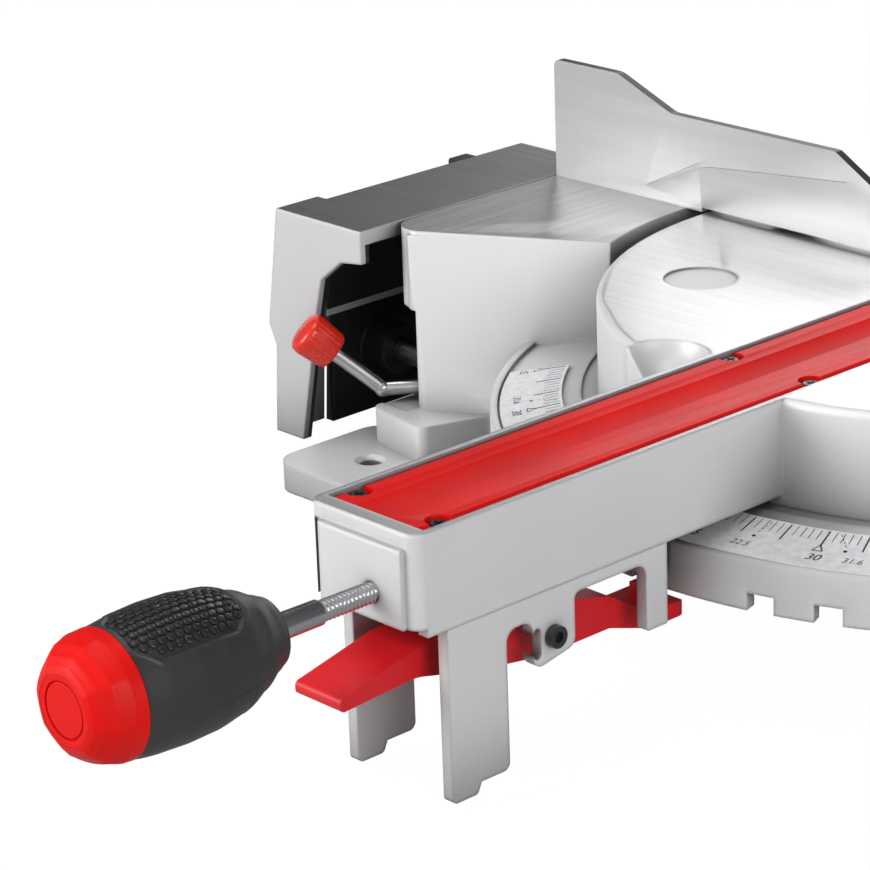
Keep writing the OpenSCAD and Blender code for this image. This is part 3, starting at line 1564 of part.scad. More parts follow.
module arbor_flanges() {
    color(steel) raised() difference() {
        union() {
            bar_x(arbor_y, arbor_z, flange_d, -blade_t / 2 - flange_w, -blade_t / 2 - snug);
            bar_x(arbor_y, arbor_z, flange_d, blade_t / 2 + snug, blade_t / 2 + flange_w);
            bar_x(arbor_y, arbor_z, blade_bore, -blade_t / 2 - over, blade_t / 2 + over);
        }
        bar_x(arbor_y, arbor_z, bolt_d + 2 * snug, -flange_w - blade_t, 0);
        bar_x(arbor_y, arbor_z, spindle_d + 2 * snug, 0, flange_w + blade_t);
    }
}

module arbor_bolt() {
    color(black) raised() difference() {
        union() {
            bar_x(arbor_y, arbor_z, bolt_d, -blade_t / 2 - flange_w - snug, 0);
            bar_x(arbor_y, arbor_z, bolt_head_d, -blade_t / 2 - flange_w - 9,
            -blade_t / 2 - flange_w - snug);
        }
        translate([-blade_t / 2 - flange_w - 10, arbor_y, arbor_z]) rotate([0, 90, 0]) cylinder(d = 9,
            h = 6, $fn = 6);
    }
}

module gear(y, z, r, teeth, x0, x1) {
    step = 360 / teeth;
    translate([0, y, z]) rotate([0, 90, 0]) translate([0, 0, x0]) linear_extrude(x1 - x0)
        polygon([for (i = [0:teeth - 1]) each [polar(r, (i - 0.2) * step), polar(r, (i + 0.2) * step),
            polar(r - 2, (i + 0.4) * step), polar(r - 2, (i + 0.6) * step)]]);
}

module spindle() {
    color(steel) raised() {
        bar_x(arbor_y, arbor_z, spindle_d, snug, gear_out - over);
        gear(arbor_y, arbor_z, shaft_gap * gear_share - gap, gear_teeth, gear_from, gear_to);
    }
}

module armature() {
    color(steel) raised() {
        bar_x(motor_y, motor_z, shaft_d, gear_from - 2, motor_end + end_len / 2 - over);
        gear(motor_y, motor_z, shaft_gap * (1 - gear_share), pinion_teeth, gear_from, gear_to);
        bar_x(motor_y, motor_z, motor_d - 2 * motor_wall - 18, gear_out + 12, motor_end - 28);
    }
}

base_casting();
mitre_scale();
fence();
fence_bolts();
pivot_bolt();
extension(-1);  // extension_left
extension_rods(-1);  // extension_rods_left
extension_stop(-1);  // extension_stop_left
extension(1);  // extension_right
extension_rods(1);  // extension_rods_right
extension_stop(1);  // extension_stop_right
lock_lever(-1);  // lock_lever_left
lock_knob(-1);  // lock_knob_left
lock_lever(1);  // lock_lever_right
lock_knob(1);  // lock_knob_right
turntable();
kerf_insert();
insert_screws();
mitre_pointer();
arm_bracket();
bracket_screw();
detent_pin();
detent_spring();
detent_lever();
lock_rod();
handle_grip();
handle_cap();
lock_shoe();
bevel_scale();
bevel_bolt();
bevel_arm();
bevel_pointer();
bevel_lock_lever();
rail_bushes();
rail_lock_knob();
carriage();
slide_rails();
rail_end_cap();
chop_pin();
chop_spring();
latch_pin();
head_casting();
upper_guard();
blade_cover_plate();
motor_housing();
motor_end_cap();
brush_caps();
d_handle(-grip_half, -snug / 2);  // d_handle_left
d_handle(snug / 2, grip_half);  // d_handle_right
cord_gland();
dust_spout();
head_bearings();
trigger();
lock_off_button();
lower_guard();
blade();
arbor_flanges();
arbor_bolt();
spindle();
armature();
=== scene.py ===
"""Mitre saw dressed for its picture, in metres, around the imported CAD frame."""

import json
import math

import bmesh
import bpy
from mathutils import Matrix, Vector
from mathutils.bvhtree import BVHTree


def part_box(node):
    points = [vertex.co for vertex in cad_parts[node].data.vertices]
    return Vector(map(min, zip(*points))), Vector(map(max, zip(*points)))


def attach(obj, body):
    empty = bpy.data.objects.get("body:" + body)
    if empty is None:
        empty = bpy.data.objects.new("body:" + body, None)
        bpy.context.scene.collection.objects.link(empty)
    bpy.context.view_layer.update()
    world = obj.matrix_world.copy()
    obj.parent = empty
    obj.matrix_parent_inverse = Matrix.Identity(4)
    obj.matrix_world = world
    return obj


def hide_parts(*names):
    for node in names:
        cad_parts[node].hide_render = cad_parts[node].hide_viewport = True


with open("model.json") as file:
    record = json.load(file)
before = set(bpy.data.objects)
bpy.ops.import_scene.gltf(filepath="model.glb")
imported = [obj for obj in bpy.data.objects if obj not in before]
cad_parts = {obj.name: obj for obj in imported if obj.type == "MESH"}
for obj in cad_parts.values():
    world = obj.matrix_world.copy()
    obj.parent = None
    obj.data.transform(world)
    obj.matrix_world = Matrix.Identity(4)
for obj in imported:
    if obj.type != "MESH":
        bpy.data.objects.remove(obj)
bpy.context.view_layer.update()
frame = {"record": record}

FULL_TURN = 2 * math.pi
DOWN = Vector((0, 0, -1))
BODIES = frame["record"]["behaviour"]["bodies"]
BODY_OF = {node: body for body, nodes in BODIES.items() for node in nodes}


def centre_of(node):
    low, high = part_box(node)
    return (low + high) / 2


# Node trees
class Tree:
    """Short calls for building one material's nodes."""

    def __init__(self, name):
        self.mat = bpy.data.materials.new(name)
        self.mat.use_nodes = True
        self.nodes = self.mat.node_tree.nodes
        self.links = self.mat.node_tree.links
        self.shader = self.nodes["Principled BSDF"]
        self.coords = self.add("ShaderNodeTexCoord").outputs["Object"]

    def add(self, kind, **settings):
        node = self.nodes.new(kind)
        for key, value in settings.items():
            setattr(node, key, value)
        return node

    def join(self, out, into):
        self.links.new(out, into)

    def put(self, socket, value):
        """Feeds a socket from another one, or sets its constant."""
        if isinstance(value, bpy.types.NodeSocket):
            self.join(value, socket)
        else:
            socket.default_value = value

    def stretch(self, scale, turn=0.0):
        """The object's own coordinates, turned about z and scaled along each axis."""
        node = self.add("ShaderNodeMapping")
        node.inputs["Scale"].default_value = scale
        node.inputs["Rotation"].default_value = (0, 0, turn)
        self.join(self.coords, node.inputs["Vector"])
        return node.outputs["Vector"]

    def noise(self, scale, detail=4.0, rough=0.55, vector=None):
        node = self.add("ShaderNodeTexNoise")
        node.inputs["Scale"].default_value = scale
        node.inputs["Detail"].default_value = detail
        node.inputs["Roughness"].default_value = rough
        self.join(vector or self.coords, node.inputs["Vector"])
        return node.outputs["Fac"]

    def span(self, factor, low, high, from_low=0.0, from_high=1.0):
        """A factor taken from one range to another."""
        node = self.add("ShaderNodeMapRange")
        node.inputs["From Min"].default_value = from_low
        node.inputs["From Max"].default_value = from_high
        node.inputs["To Min"].default_value = low
        node.inputs["To Max"].default_value = high
        self.join(factor, node.inputs["Value"])
        return node.outputs["Result"]

    def calc(self, kind, a, b=0.5):
        node = self.add("ShaderNodeMath", operation=kind)
        self.put(node.inputs[0], a)
        self.put(node.inputs[1], b)
        return node.outputs[0]

    def mix(self, factor, a, b):
        """A colour between two sockets or tones."""
        node = self.add("ShaderNodeMix", data_type="RGBA")
        self.put(node.inputs["Factor"], factor)
        for socket, value in ((node.inputs["A"], a), (node.inputs["B"], b)):
            self.put(socket, value if isinstance(value, bpy.types.NodeSocket) else (*value, 1))
        return node.outputs["Result"]

    def tones(self, factor, dark, light, spread=0.2):
        """A colour that goes from dark to light as the factor passes the middle, give or take the spread."""
        return self.mix(self.span(factor, 0, 1, 0.5 - spread, 0.5 + spread), dark, light)

    def axis(self, name):
        node = self.add("ShaderNodeSeparateXYZ")
        self.join(self.coords, node.inputs[0])
        return node.outputs[name]

    def facing(self):
        """How far the surface faces up, from the object's own normal."""
        node = self.add("ShaderNodeSeparateXYZ")
        self.join(self.nodes["Texture Coordinate"].outputs["Normal"], node.inputs[0])
        return node.outputs["Z"]

    def bump(self, height, strength, distance, under=None):
        node = self.add("ShaderNodeBump")
        node.inputs["Strength"].default_value = strength
        node.inputs["Distance"].default_value = distance
        self.join(height, node.inputs["Height"])
        if under is not None:
            self.join(under, node.inputs["Normal"])
        return node.outputs["Normal"]

    def finish(self, color, rough, normal=None, **sockets):
        self.put(self.shader.inputs["Base Color"], color)
        self.put(self.shader.inputs["Roughness"], rough)
        if normal is not None:
            self.join(normal, self.shader.inputs["Normal"])
        for key, value in sockets.items():
            self.put(self.shader.inputs[key.replace("_", " ")], value)
        return self.mat


def shaded(tone, share):
    return [min(1, part * share) for part in tone]


# Metal and plastic
TABLE_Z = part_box("base_casting")[1].z
# How far below the table's top a face may lie and still be brushed, and how flat it is
TOP_SLACK = 0.0005
TOP_FLAT = 0.98
# Rounding of the edges in the shading
EDGE_SHADE = 0.0022
# Painted shade in creases and under parts: how far a neighbour darkens a face's colour, and the share of the
# tone that it gives
PAINTED_SHADE_REACH = 0.045
PAINTED_SHADE_SHARE = 0.16
# Height of the grain's and the streaks' relief
RELIEF = 0.0002
CAST_METALLIC = 0.25
TOP_MORE_METALLIC = 0.70
# Near-black tone of the painted shade inside the hollows
HOLLOW_SHADE_TONE = (0.012, 0.012, 0.013)
# How flat a face of the fence is that counts as its top
FENCE_TOP_FLAT = 0.35
# How far the roughness of brushed metal and plastic strays from its middle
ROUGH_LESS, ROUGH_MORE = 0.06, 0.08
PLASTIC_RELIEF = 0.0003


def hollow_shade_mask(t, hollow_shade):
    """One inside the box of painted shade from low to high, taken on |x|, y and z, else nothing."""
    axes = [t.calc("ABSOLUTE", t.axis("X")), t.axis("Y"), t.axis("Z")]
    inside = None
    for out, low, high in zip(axes, *hollow_shade):
        part = t.calc("MULTIPLY", t.calc("GREATER_THAN", out, low), t.calc("LESS_THAN", out, high))
        inside = part if inside is None else t.calc("MULTIPLY", inside, part)
    return inside


def cast_metal(name, tone, top_tone_with_reflection=None, turn=0.0, streak=None, shades=(0.86, 1.07), hollow_shade=None):
    """Cast aluminium with a fine grain, painted shade in its creases, near-black painted shade in its
    hollow, and a brushed top if it has a top tone, whose tone is in part a painted reflection.
    """
    t = Tree(name)
    grain = t.noise(1400, 3)
    colour = t.tones(t.noise(9, 5), shaded(tone, 0.95), tone)
    rough = t.span(grain, 0.40, 0.50)
    corner = t.add("ShaderNodeBevel", samples=4)
    corner.inputs["Radius"].default_value = EDGE_SHADE
    normal = t.bump(grain, 0.12, RELIEF, corner.outputs["Normal"])
    metallic = CAST_METALLIC
    # Brushed top: a real machined finish, with a tone that also paints the reflection that the top gives
    if top_tone_with_reflection:
        lines = t.noise(1, 6, 0.65, t.stretch(streak, turn))
        fine = t.noise(3, 4, 0.7, t.stretch(streak, turn))
        brushed = t.tones(lines, shaded(top_tone_with_reflection, shades[0]), shaded(top_tone_with_reflection, shades[1]), 0.15)
        is_top = t.calc("MULTIPLY", t.calc("GREATER_THAN", t.facing(), TOP_FLAT),
                        t.calc("GREATER_THAN", t.axis("Z"), TABLE_Z - TOP_SLACK))
        colour = t.mix(is_top, colour, brushed)
        rough = t.calc("ADD", t.calc("MULTIPLY", is_top, t.span(fine, -0.12, 0.02)), rough)
        normal = t.bump(t.calc("MULTIPLY", fine, is_top), 0.10, RELIEF, normal)
        metallic = t.calc("ADD", t.calc("MULTIPLY", is_top, TOP_MORE_METALLIC), CAST_METALLIC)
    # Painted shade: the colour darkens towards a dark share of its tone where neighbouring parts come close,
    # in creases and under parts
    crease_shade = t.add("ShaderNodeAmbientOcclusion", samples=6)
    crease_shade.inputs["Distance"].default_value = PAINTED_SHADE_REACH
    colour = t.mix(t.span(crease_shade.outputs["AO"], 0, 1, 0.25, 0.92), shaded(tone, PAINTED_SHADE_SHARE), colour)
    # Painted shade: near-black and not metallic inside the hollow, which lies in shade
    if hollow_shade:
        dark = hollow_shade_mask(t, hollow_shade)
        colour = t.mix(dark, colour, HOLLOW_SHADE_TONE)
        metallic = t.calc("MULTIPLY", metallic, t.calc("SUBTRACT", 1.0, dark))
    return t.finish(colour, rough, normal, Metallic=metallic)


def brushed_metal(name, tone, streak=(8, 700, 700), rough=0.3, metallic=1.0, depth=0.12,
                  shades=(0.82, 1.08), top_tone_with_reflection=None):
    """Bare metal with streaks; a top tone colours what faces up, as a painted reflection."""
    t = Tree(name)
    lines = t.noise(1, 6, 0.65, t.stretch(streak))
    cloud = t.noise(14, 4)
    colour = t.tones(lines, shaded(tone, shades[0]), shaded(tone, shades[1]))
    # Painted reflection: faces that look up take the top tone
    if top_tone_with_reflection:
        colour = t.mix(t.calc("GREATER_THAN", t.facing(), FENCE_TOP_FLAT), colour, top_tone_with_reflection)
    roughness = t.calc("ADD", t.span(cloud, -0.05, 0.05),
                       t.span(lines, rough - ROUGH_LESS, rough + ROUGH_MORE))
    return t.finish(colour, roughness, t.bump(lines, depth, RELIEF), Metallic=metallic)


def plastic(name, tone, rough=0.35, grain=900, depth=0.15, coat=0.0, shade=0.85, specular=0.5, clear=0.0):
    """Moulded plastic or rubber with a fine grain, cloudy in its colour by the shade's share."""
    t = Tree(name)
    speckle = t.noise(grain, 3)
    colour = t.tones(t.noise(20, 4), shaded(tone, shade), tone)
    roughness = t.span(speckle, rough - ROUGH_LESS, rough + ROUGH_MORE)
    return t.finish(colour, roughness, t.bump(speckle, depth, PLASTIC_RELIEF), Coat_Weight=coat,
                    Specular_IOR_Level=specular, Transmission_Weight=clear)


SILVER = (0.80, 0.80, 0.805)
# Painted shade: near-black colour inside the wings and the extensions, where their insides lie in shade, as
# boxes on |x|, y and z
WING_HOLLOW_SHADE = ((0.2512, -0.125, 0.0300), (0.260, 0.1, 0.1025))
EXTENSION_HOLLOW_SHADE = ((0.2400, -0.1174, -0.01), (0.3076, 0.0260, 0.1036))

# The top tones below are in part painted reflection of the tops
MATERIALS = {
    "base": cast_metal("cast_base", SILVER, (0.62, 0.62, 0.63), turn=math.radians(20),
                       streak=(300, 10, 40), hollow_shade=WING_HOLLOW_SHADE),
    "table": cast_metal("cast_table", SILVER, (0.84, 0.84, 0.85), turn=math.radians(-30),
                        streak=(14, 500, 40), shades=(0.94, 1.03)),
    "extension": cast_metal("cast_extension", shaded(SILVER, 0.82), (0.36, 0.36, 0.37),
                            turn=math.radians(2), streak=(14, 420, 40), hollow_shade=EXTENSION_HOLLOW_SHADE),
    "cast": cast_metal("cast_plain", SILVER),
    "fence": brushed_metal("fence_metal", (0.56, 0.56, 0.565), streak=(8, 60, 160), rough=0.40,
                           metallic=0.75, shades=(0.93, 1.04), top_tone_with_reflection=(0.10, 0.10, 0.10)),
    "steel": brushed_metal("plain_steel", (0.55, 0.55, 0.57), rough=0.28),
    "rod": brushed_metal("rod_steel", (0.60, 0.60, 0.62), streak=(30, 12, 30), rough=0.22, depth=0.02),
    "chrome": brushed_metal("rail_chrome", (0.80, 0.80, 0.82), streak=(300, 5, 300), rough=0.12,
                            depth=0.03),
    "blade": brushed_metal("blade_steel", (0.72, 0.72, 0.74), streak=(60, 30, 900), rough=0.28),
    "plate": brushed_metal("scale_plate", (0.84, 0.84, 0.86), streak=(300, 300, 30), rough=0.38,
                           metallic=0.25, depth=0.02),
    "red_gloss": plastic("red_gloss", (0.80, 0.006, 0.004), rough=0.40, grain=500, depth=0.03,
                         shade=0.80, specular=0.16),
    "red_satin": plastic("red_satin", (0.76, 0.010, 0.016), rough=0.42, grain=1500, depth=0.35,
                         shade=0.9),
    "black": plastic("black_plastic", (0.022, 0.022, 0.024), rough=0.42, grain=1300, depth=0.25),
    "rubber": plastic("grip_rubber", (0.034, 0.033, 0.034), rough=0.44, grain=1100, depth=0.25),
    "smoke": plastic("guard_smoke", (0.30, 0.31, 0.32), rough=0.16, grain=300, depth=0.02, shade=0.9,
                     clear=0.75),
    "knob": plastic("knob_red", (0.74, 0.020, 0.006), rough=0.26, grain=700, depth=0.04, coat=0.3,
                    shade=0.92),
    "stud": plastic("grip_studs", (0.020, 0.020, 0.021), rough=0.34, grain=1600, depth=0.2),
    "ink": plastic("scale_ink", (0.012, 0.012, 0.013), rough=0.5, grain=2500, depth=0.05),
    "screw": plastic("black_oxide", (0.018, 0.018, 0.02), rough=0.3, grain=700, depth=0.06,
                     specular=0.7),
}

NODES_IN = {
    "base": ["base_casting"],
    "extension": ["extension_left", "extension_right"],
    "table": ["turntable"],
    "cast": ["arm_bracket", "bevel_arm", "carriage", "head_casting", "upper_guard"],
    "fence": ["fence"],
    "plate": ["mitre_scale", "bevel_scale"],
    "steel": ["fence_bolts", "pivot_bolt", "detent_pin", "detent_spring", "lock_shoe", "bevel_bolt",
              "chop_pin", "chop_spring", "latch_pin", "blade_cover_plate", "head_bearings",
              "arbor_flanges", "spindle", "armature"],
    "rod": ["lock_rod", "extension_rods_left", "extension_rods_right", "lock_lever_left",
            "lock_lever_right"],
    "chrome": ["slide_rails"],
    "blade": ["blade"],
    "red_gloss": ["kerf_insert", "handle_cap", "trigger", "lock_off_button", "mitre_pointer",
                  "bevel_pointer"],
    "knob": ["lock_knob_left", "lock_knob_right"],
    "red_satin": ["detent_lever"],
    "smoke": ["lower_guard"],
    "black": ["extension_stop_left", "extension_stop_right", "bevel_lock_lever", "rail_bushes",
              "rail_lock_knob", "rail_end_cap", "motor_housing", "motor_end_cap", "brush_caps",
              "dust_spout", "cord_gland"],
    "rubber": ["handle_grip", "d_handle_left", "d_handle_right"],
    "screw": ["insert_screws", "bracket_screw", "arbor_bolt"],
}


def dress_nodes():
    for key, nodes in NODES_IN.items():
        for node in nodes:
            held = bpy.data.objects[node].data.materials
            held.clear()
            held.append(MATERIALS[key])


# Pieces and their meshes
def add_piece(name, mesh, node, material=None, replaces=True):
    """A piece of a CAD node: it rides on the node's body and may stand for it."""
    obj = bpy.data.objects.new(name, mesh)
    bpy.context.scene.collection.objects.link(obj)
    if material:
        mesh.materials.append(MATERIALS[material])
    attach(obj, BODY_OF[node])
    if replaces:
        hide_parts(node)
    return obj


def mesh_of(name, verts, faces, sharp=None, outward=False):
    """A mesh that is smooth but for edges sharper than so many degrees, or flat without an angle."""
    mesh = bpy.data.meshes.new(name)
    mesh.from_pydata([tuple(v) for v in verts], [], faces)
    mesh.update()
    if outward:
        bm = bmesh.new()
        bm.from_mesh(mesh)
        bmesh.ops.recalc_face_normals(bm, faces=bm.faces)
        bm.to_mesh(mesh)
        bm.free()
    if sharp:
        mesh.shade_smooth()
        mesh.set_sharp_from_angle(angle=math.radians(sharp))
    return mesh


def ring_faces(count, rings, first=0):
    """Four-sided faces between rings of points that follow one another."""
    faces = []
    for i in range(rings - 1):
        low, high = first + i * count, first + (i + 1) * count
        for k in range(count):
            n = (k + 1) % count
            faces.append((low + k, low + n, high + n, high + k))
    return faces


def steps(a, b, n):
    return [a + (b - a) * i / n for i in range(n + 1)]


# Share of the easing in the curve between two given points
EASE = 0.35


def between(points, at):
    """Smooth value at a place, through (place, value) points."""
    for (a, low), (b, high) in zip(points, points[1:]):
        if a <= at <= b:
            t = (at - a) / (b - a)
            t = t * t * (3 - 2 * t) * EASE + t * (1 - EASE)
            return low + (high - low) * t
    return points[0][1] if at < points[0][0] else points[-1][1]


# Castings and mouldings with rounded edges in place of the plain CAD solids
EDGE_WIDTH = {
    "base_casting": 0.0014, "turntable": 0.0016, "fence": 0.0012, "extension_left": 0.0014,
    "extension_right": 0.0014, "arm_bracket": 0.0016, "detent_lever": 0.0014, "kerf_insert": 0.0005,
    "bevel_arm": 0.0020, "carriage": 0.0018, "head_casting": 0.0016, "upper_guard": 0.0012,
    "motor_housing": 0.0014, "mitre_scale": 0.0003,
}
EDGE_ANGLE = math.radians(32)
WELD = 2e-6
FLAT_ANGLE = math.radians(1.2)


def soften(node, width):
    """A copy of a dressed CAD node with rounded edges, which stands in for it."""
    source = bpy.data.objects[node]
    mesh = source.data.copy()
    mesh.transform(source.matrix_world)
    bm = bmesh.new()
    bm.from_mesh(mesh)
    bmesh.ops.remove_doubles(bm, verts=bm.verts, dist=WELD)
    bmesh.ops.dissolve_limit(bm, angle_limit=FLAT_ANGLE, verts=bm.verts, edges=bm.edges)
    bm.to_mesh(mesh)
    bm.free()
    mesh.shade_smooth()
    mesh.set_sharp_from_angle(angle=EDGE_ANGLE)
    bevel = add_piece(node + "_dressed", mesh, node).modifiers.new("edges", "BEVEL")
    bevel.limit_method = "ANGLE"
    bevel.angle_limit = EDGE_ANGLE
    bevel.width = width
    bevel.segments = 3
    bevel.use_clamp_overlap = True
    bevel.harden_normals = True
    bevel.miter_outer = "MITER_ARC"


# Handle of the turntable, on the lock rod's axis: its angles start at the top
ROD_X, _, ROD_Z = centre_of("lock_rod")
ROD_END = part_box("lock_rod")[1].y
CAP_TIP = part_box("handle_cap")[0].y
CAP_LEN = 0.0178
GRIP_TIP = CAP_TIP + CAP_LEN
# Outlines of the cap and the grip, as (distance from the own tip, radius)
CAP_R = [(0, 0.0128), (0.0008, 0.0152), (0.0035, 0.0182), (0.0075, 0.0211), (0.0130, 0.0228),
         (CAP_LEN, 0.0232)]
GRIP_R = [(0, 0.0229), (0.0102, 0.0240), (0.0222, 0.0245), (0.0342, 0.0241), (0.0462, 0.0222),
          (0.0562, 0.0186), (0.0637, 0.0146), (0.0677, 0.0128)]
GRIP_NECK = GRIP_TIP + GRIP_R[-1][0]
# Sunk panel with eight sides: its middle, half length, half width, cut corners and depth
PANEL_Y = -0.4365
PANEL_ANGLE = math.radians(14)
PANEL_HALF = 0.0238
PANEL_SPREAD = 0.0156
PANEL_CUT = 0.0070
PANEL_DEEP = 0.0009
PANEL_SLOPE = 0.0006
# Radius that lengths round the panel are measured on
PANEL_R = 0.0238
# Raised lip round the panel
LIP_HIGH = 0.00045
LIP_OUT = 0.0009
LIP_WIDE = 0.0005
# Raised step along the grip's side, which starts on a wavy line and fades at both ends
STEP_HIGH = 0.00035
STEP_MIDDLE = math.radians(115)
STEP_HALF = math.radians(60)
STEP_START = math.radians(-18)
STEP_WAVE = math.radians(8)
STEP_WAVES = 42
STEP_TIP_FADE = 0.004
STEP_NECK_GAP = 0.012
STEP_NECK_FADE = 0.006
# Studs on the panel, with their rings as (share of the size, height)
STUD_PITCH = 0.0036
STUD_SIZE = 0.00175
STUD_RINGS = ((1.0, -PANEL_DEEP - 0.0002), (0.92, -0.00025), (0.55, 0.0))
STUD_CLEAR = 0.0016
STUD_ROWS, STUD_COLUMNS = 6, 8
# Facets of the cap, which run out into the round at the grip
FACET = math.radians(45)
FACET_START = math.radians(10)
FACET_FADE = 0.006
FACET_SHARE = 0.55
FACET_GROW = 1.03
# Bare round place in the cap's end, as (radius, depth); the last ring is the cap's own edge
DISC_DEEP = 0.0003
DISC_RINGS = [(0.0092, 0.0003), (0.0095, 0.0004), (0.00965, 0.0014), (0.0102, 0.0014),
              (0.0103, 0.0002), (None, 0.0001)]
# Dark joint between the cap and the grip
SEAM_R = 0.0223
SEAM_OUT, SEAM_IN = 0.0006, 0.0003
CAP_GAP = 0.0004
# Rod: thread, plain rear end, and collar as radii by place
THREAD_FROM, THREAD_TO = -0.3710, -0.3300
THREAD_R, THREAD_DEEP, THREAD_PITCH = 0.0040, 0.0008, 0.0018
REAR_R, REAR_LAP = 0.0039, 0.0002
COLLAR_R = {-0.3960: 0.0046, -0.3955: 0.0056, -0.3940: 0.0056, -0.3935: 0.0049, -0.3715: 0.0047,
            -0.3708: 0.0040}


def round_rod(r, a, y):
    return ROD_X + r * math.sin(a), y, ROD_Z + r * math.cos(a)


def lathe(name, stations, count, radius, ends=True):
    """Rings along the lock rod's axis, each point at radius(station, angle)."""
    verts = [round_rod(radius(y, FULL_TURN * k / count), FULL_TURN * k / count, y)
             for y in stations for k in range(count)]
    faces = ring_faces(count, len(stations))
    if ends:
        faces.append(tuple(range(count - 1, -1, -1)))
        faces.append(tuple(range(len(verts) - count, len(verts))))
    return mesh_of(name, verts, faces, sharp=40)


def wrapped(a):
    return (a + math.pi) % FULL_TURN - math.pi


def panel_reach(y, a):
    """How far inside the eight-sided panel a place is; negative outside."""
    u = abs(y - PANEL_Y)
    v = abs(wrapped(a - PANEL_ANGLE)) * PANEL_R
    corner = (PANEL_HALF + PANEL_SPREAD - PANEL_CUT - u - v) / math.sqrt(2)
    return min(PANEL_HALF - u, PANEL_SPREAD - v, corner)


def side_step(y, a):
    """Height of the step along the grip's side."""
    off = wrapped(a - STEP_MIDDLE)
    start = STEP_START + STEP_WAVE * math.sin((y - GRIP_TIP) * STEP_WAVES)
    if abs(off) >= STEP_HALF or off <= start:
        return 0
    tip_share = min(1, (y - GRIP_TIP) / STEP_TIP_FADE)
    neck_share = min(1, max(0, (GRIP_NECK - STEP_NECK_GAP - y) / STEP_NECK_FADE))
    return STEP_HIGH * tip_share * neck_share


def grip_radius(y, a):
    inside = panel_reach(y, a)
    lip = LIP_HIGH * math.exp(-((inside + LIP_OUT) / LIP_WIDE) ** 2)
    drop = PANEL_DEEP * min(1, max(0, inside / PANEL_SLOPE))
    return between(GRIP_R, y - GRIP_TIP) + lip - drop + side_step(y, a)


def cap_radius(y, a):
    share = FACET_SHARE * min(1, max(0, (GRIP_TIP - y) / FACET_FADE))
    off = (a - FACET_START) % FACET - FACET / 2
    facet = math.cos(FACET / 2) / math.cos(off) * FACET_GROW
    return between(CAP_R, y - CAP_TIP) * (1 - share + share * facet)


def thread_radius(y, a):
    turn = (y / THREAD_PITCH - a / FULL_TURN) % 1
    return THREAD_R - THREAD_DEEP * abs(2 * turn - 1)


def stud_points(y, a):
    """Rings of one six-sided stud, from its foot to its top."""
    for share, height in STUD_RINGS:
        for k in range(6):
            t = math.pi / 3 * k + math.pi / 6
            at = y + STUD_SIZE * share * math.cos(t)
            turn = a + STUD_SIZE * share * math.sin(t) / PANEL_R
            yield round_rod(between(GRIP_R, at - GRIP_TIP) + height, turn, at)


def hex_studs():
    """Six-sided studs in rows over the sunk panel."""
    verts, faces = [], []
    for row in range(-STUD_ROWS, STUD_ROWS + 1):
        a = PANEL_ANGLE + row * STUD_PITCH * math.sin(math.radians(60)) / PANEL_R
        for column in range(-STUD_COLUMNS, STUD_COLUMNS + 1):
            y = PANEL_Y + (column + 0.5 * (row % 2)) * STUD_PITCH
            if panel_reach(y, a) < STUD_CLEAR:
                continue
            first = len(verts)
            verts.extend(stud_points(y, a))
            faces.extend(ring_faces(6, len(STUD_RINGS), first))
            faces.append(tuple(range(len(verts) - 6, len(verts))))
    return mesh_of("studs", verts, faces, sharp=25, outward=True)


def disc_in_cap():
    """Bare round place of the cap: a sunk ring round a plain disc."""
    count = 96
    verts = [(ROD_X, CAP_TIP + DISC_DEEP, ROD_Z)]
    for r, depth in DISC_RINGS:
        for k in range(count):
            a = FULL_TURN * k / count
            verts.append(round_rod(r or cap_radius(CAP_TIP, a), a, CAP_TIP + depth))
    faces = [(0, 1 + k, 1 + (k + 1) % count) for k in range(count)]
    faces.extend(ring_faces(count, len(DISC_RINGS), first=1))
    return mesh_of("cap_disc", verts, faces, sharp=30)


def make_handle():
    grip = lathe("grip", steps(GRIP_TIP, GRIP_NECK, 170), 260, grip_radius)
    add_piece("grip", grip, "handle_grip", "rubber")
    add_piece("grip_studs", hex_studs(), "handle_grip", "stud", replaces=False)
    cap = lathe("cap", steps(CAP_TIP, GRIP_TIP - CAP_GAP, 40), 160, cap_radius, ends=False)
    add_piece("cap", cap, "handle_cap", "red_gloss")
    add_piece("cap_face", disc_in_cap(), "handle_cap", "red_gloss", replaces=False)
    seam = lathe("cap_seam", [GRIP_TIP - SEAM_OUT, GRIP_TIP + SEAM_IN], 96, lambda y, a: SEAM_R)
    add_piece("cap_seam", seam, "handle_grip", "black", replaces=False)
    thread = lathe("rod_thread", steps(THREAD_FROM, THREAD_TO, 300), 40, thread_radius)
    add_piece("rod_thread", thread, "lock_rod", "rod")
    collar = lathe("rod_collar", list(COLLAR_R), 64, lambda y, a: COLLAR_R[y])
    add_piece("rod_collar", collar, "lock_rod", "rod", replaces=False)
    rear = lathe("rod_rear", [THREAD_TO - REAR_LAP, ROD_END], 32, lambda y, a: REAR_R)
    add_piece("rod_rear", rear, "lock_rod", "rod", replaces=False)


# Knobs of the extension levers, square to the last stretch of the bent lever
LEVER_BEND = Vector((0.2560, -0.1080, 0.0340))
KNOB_R, KNOB_LEN = 0.0097, 0.0180
# Outline from the foot to the domed end, as (share of the length, share of the radius)
KNOB_SHARES = [(-0.5, 0.70), (-0.48, 0.84), (-0.42, 0.90), (0.25, 1.0), (0.34, 1.0), (0.42, 0.95),
               (0.47, 0.82), (0.49, 0.6), (0.5, 0.001)]
RIB_HIGH, RIB_COUNT = 0.0002, 24
RIB_FROM_SHARE, RIB_TO_SHARE = -0.45, 0.3


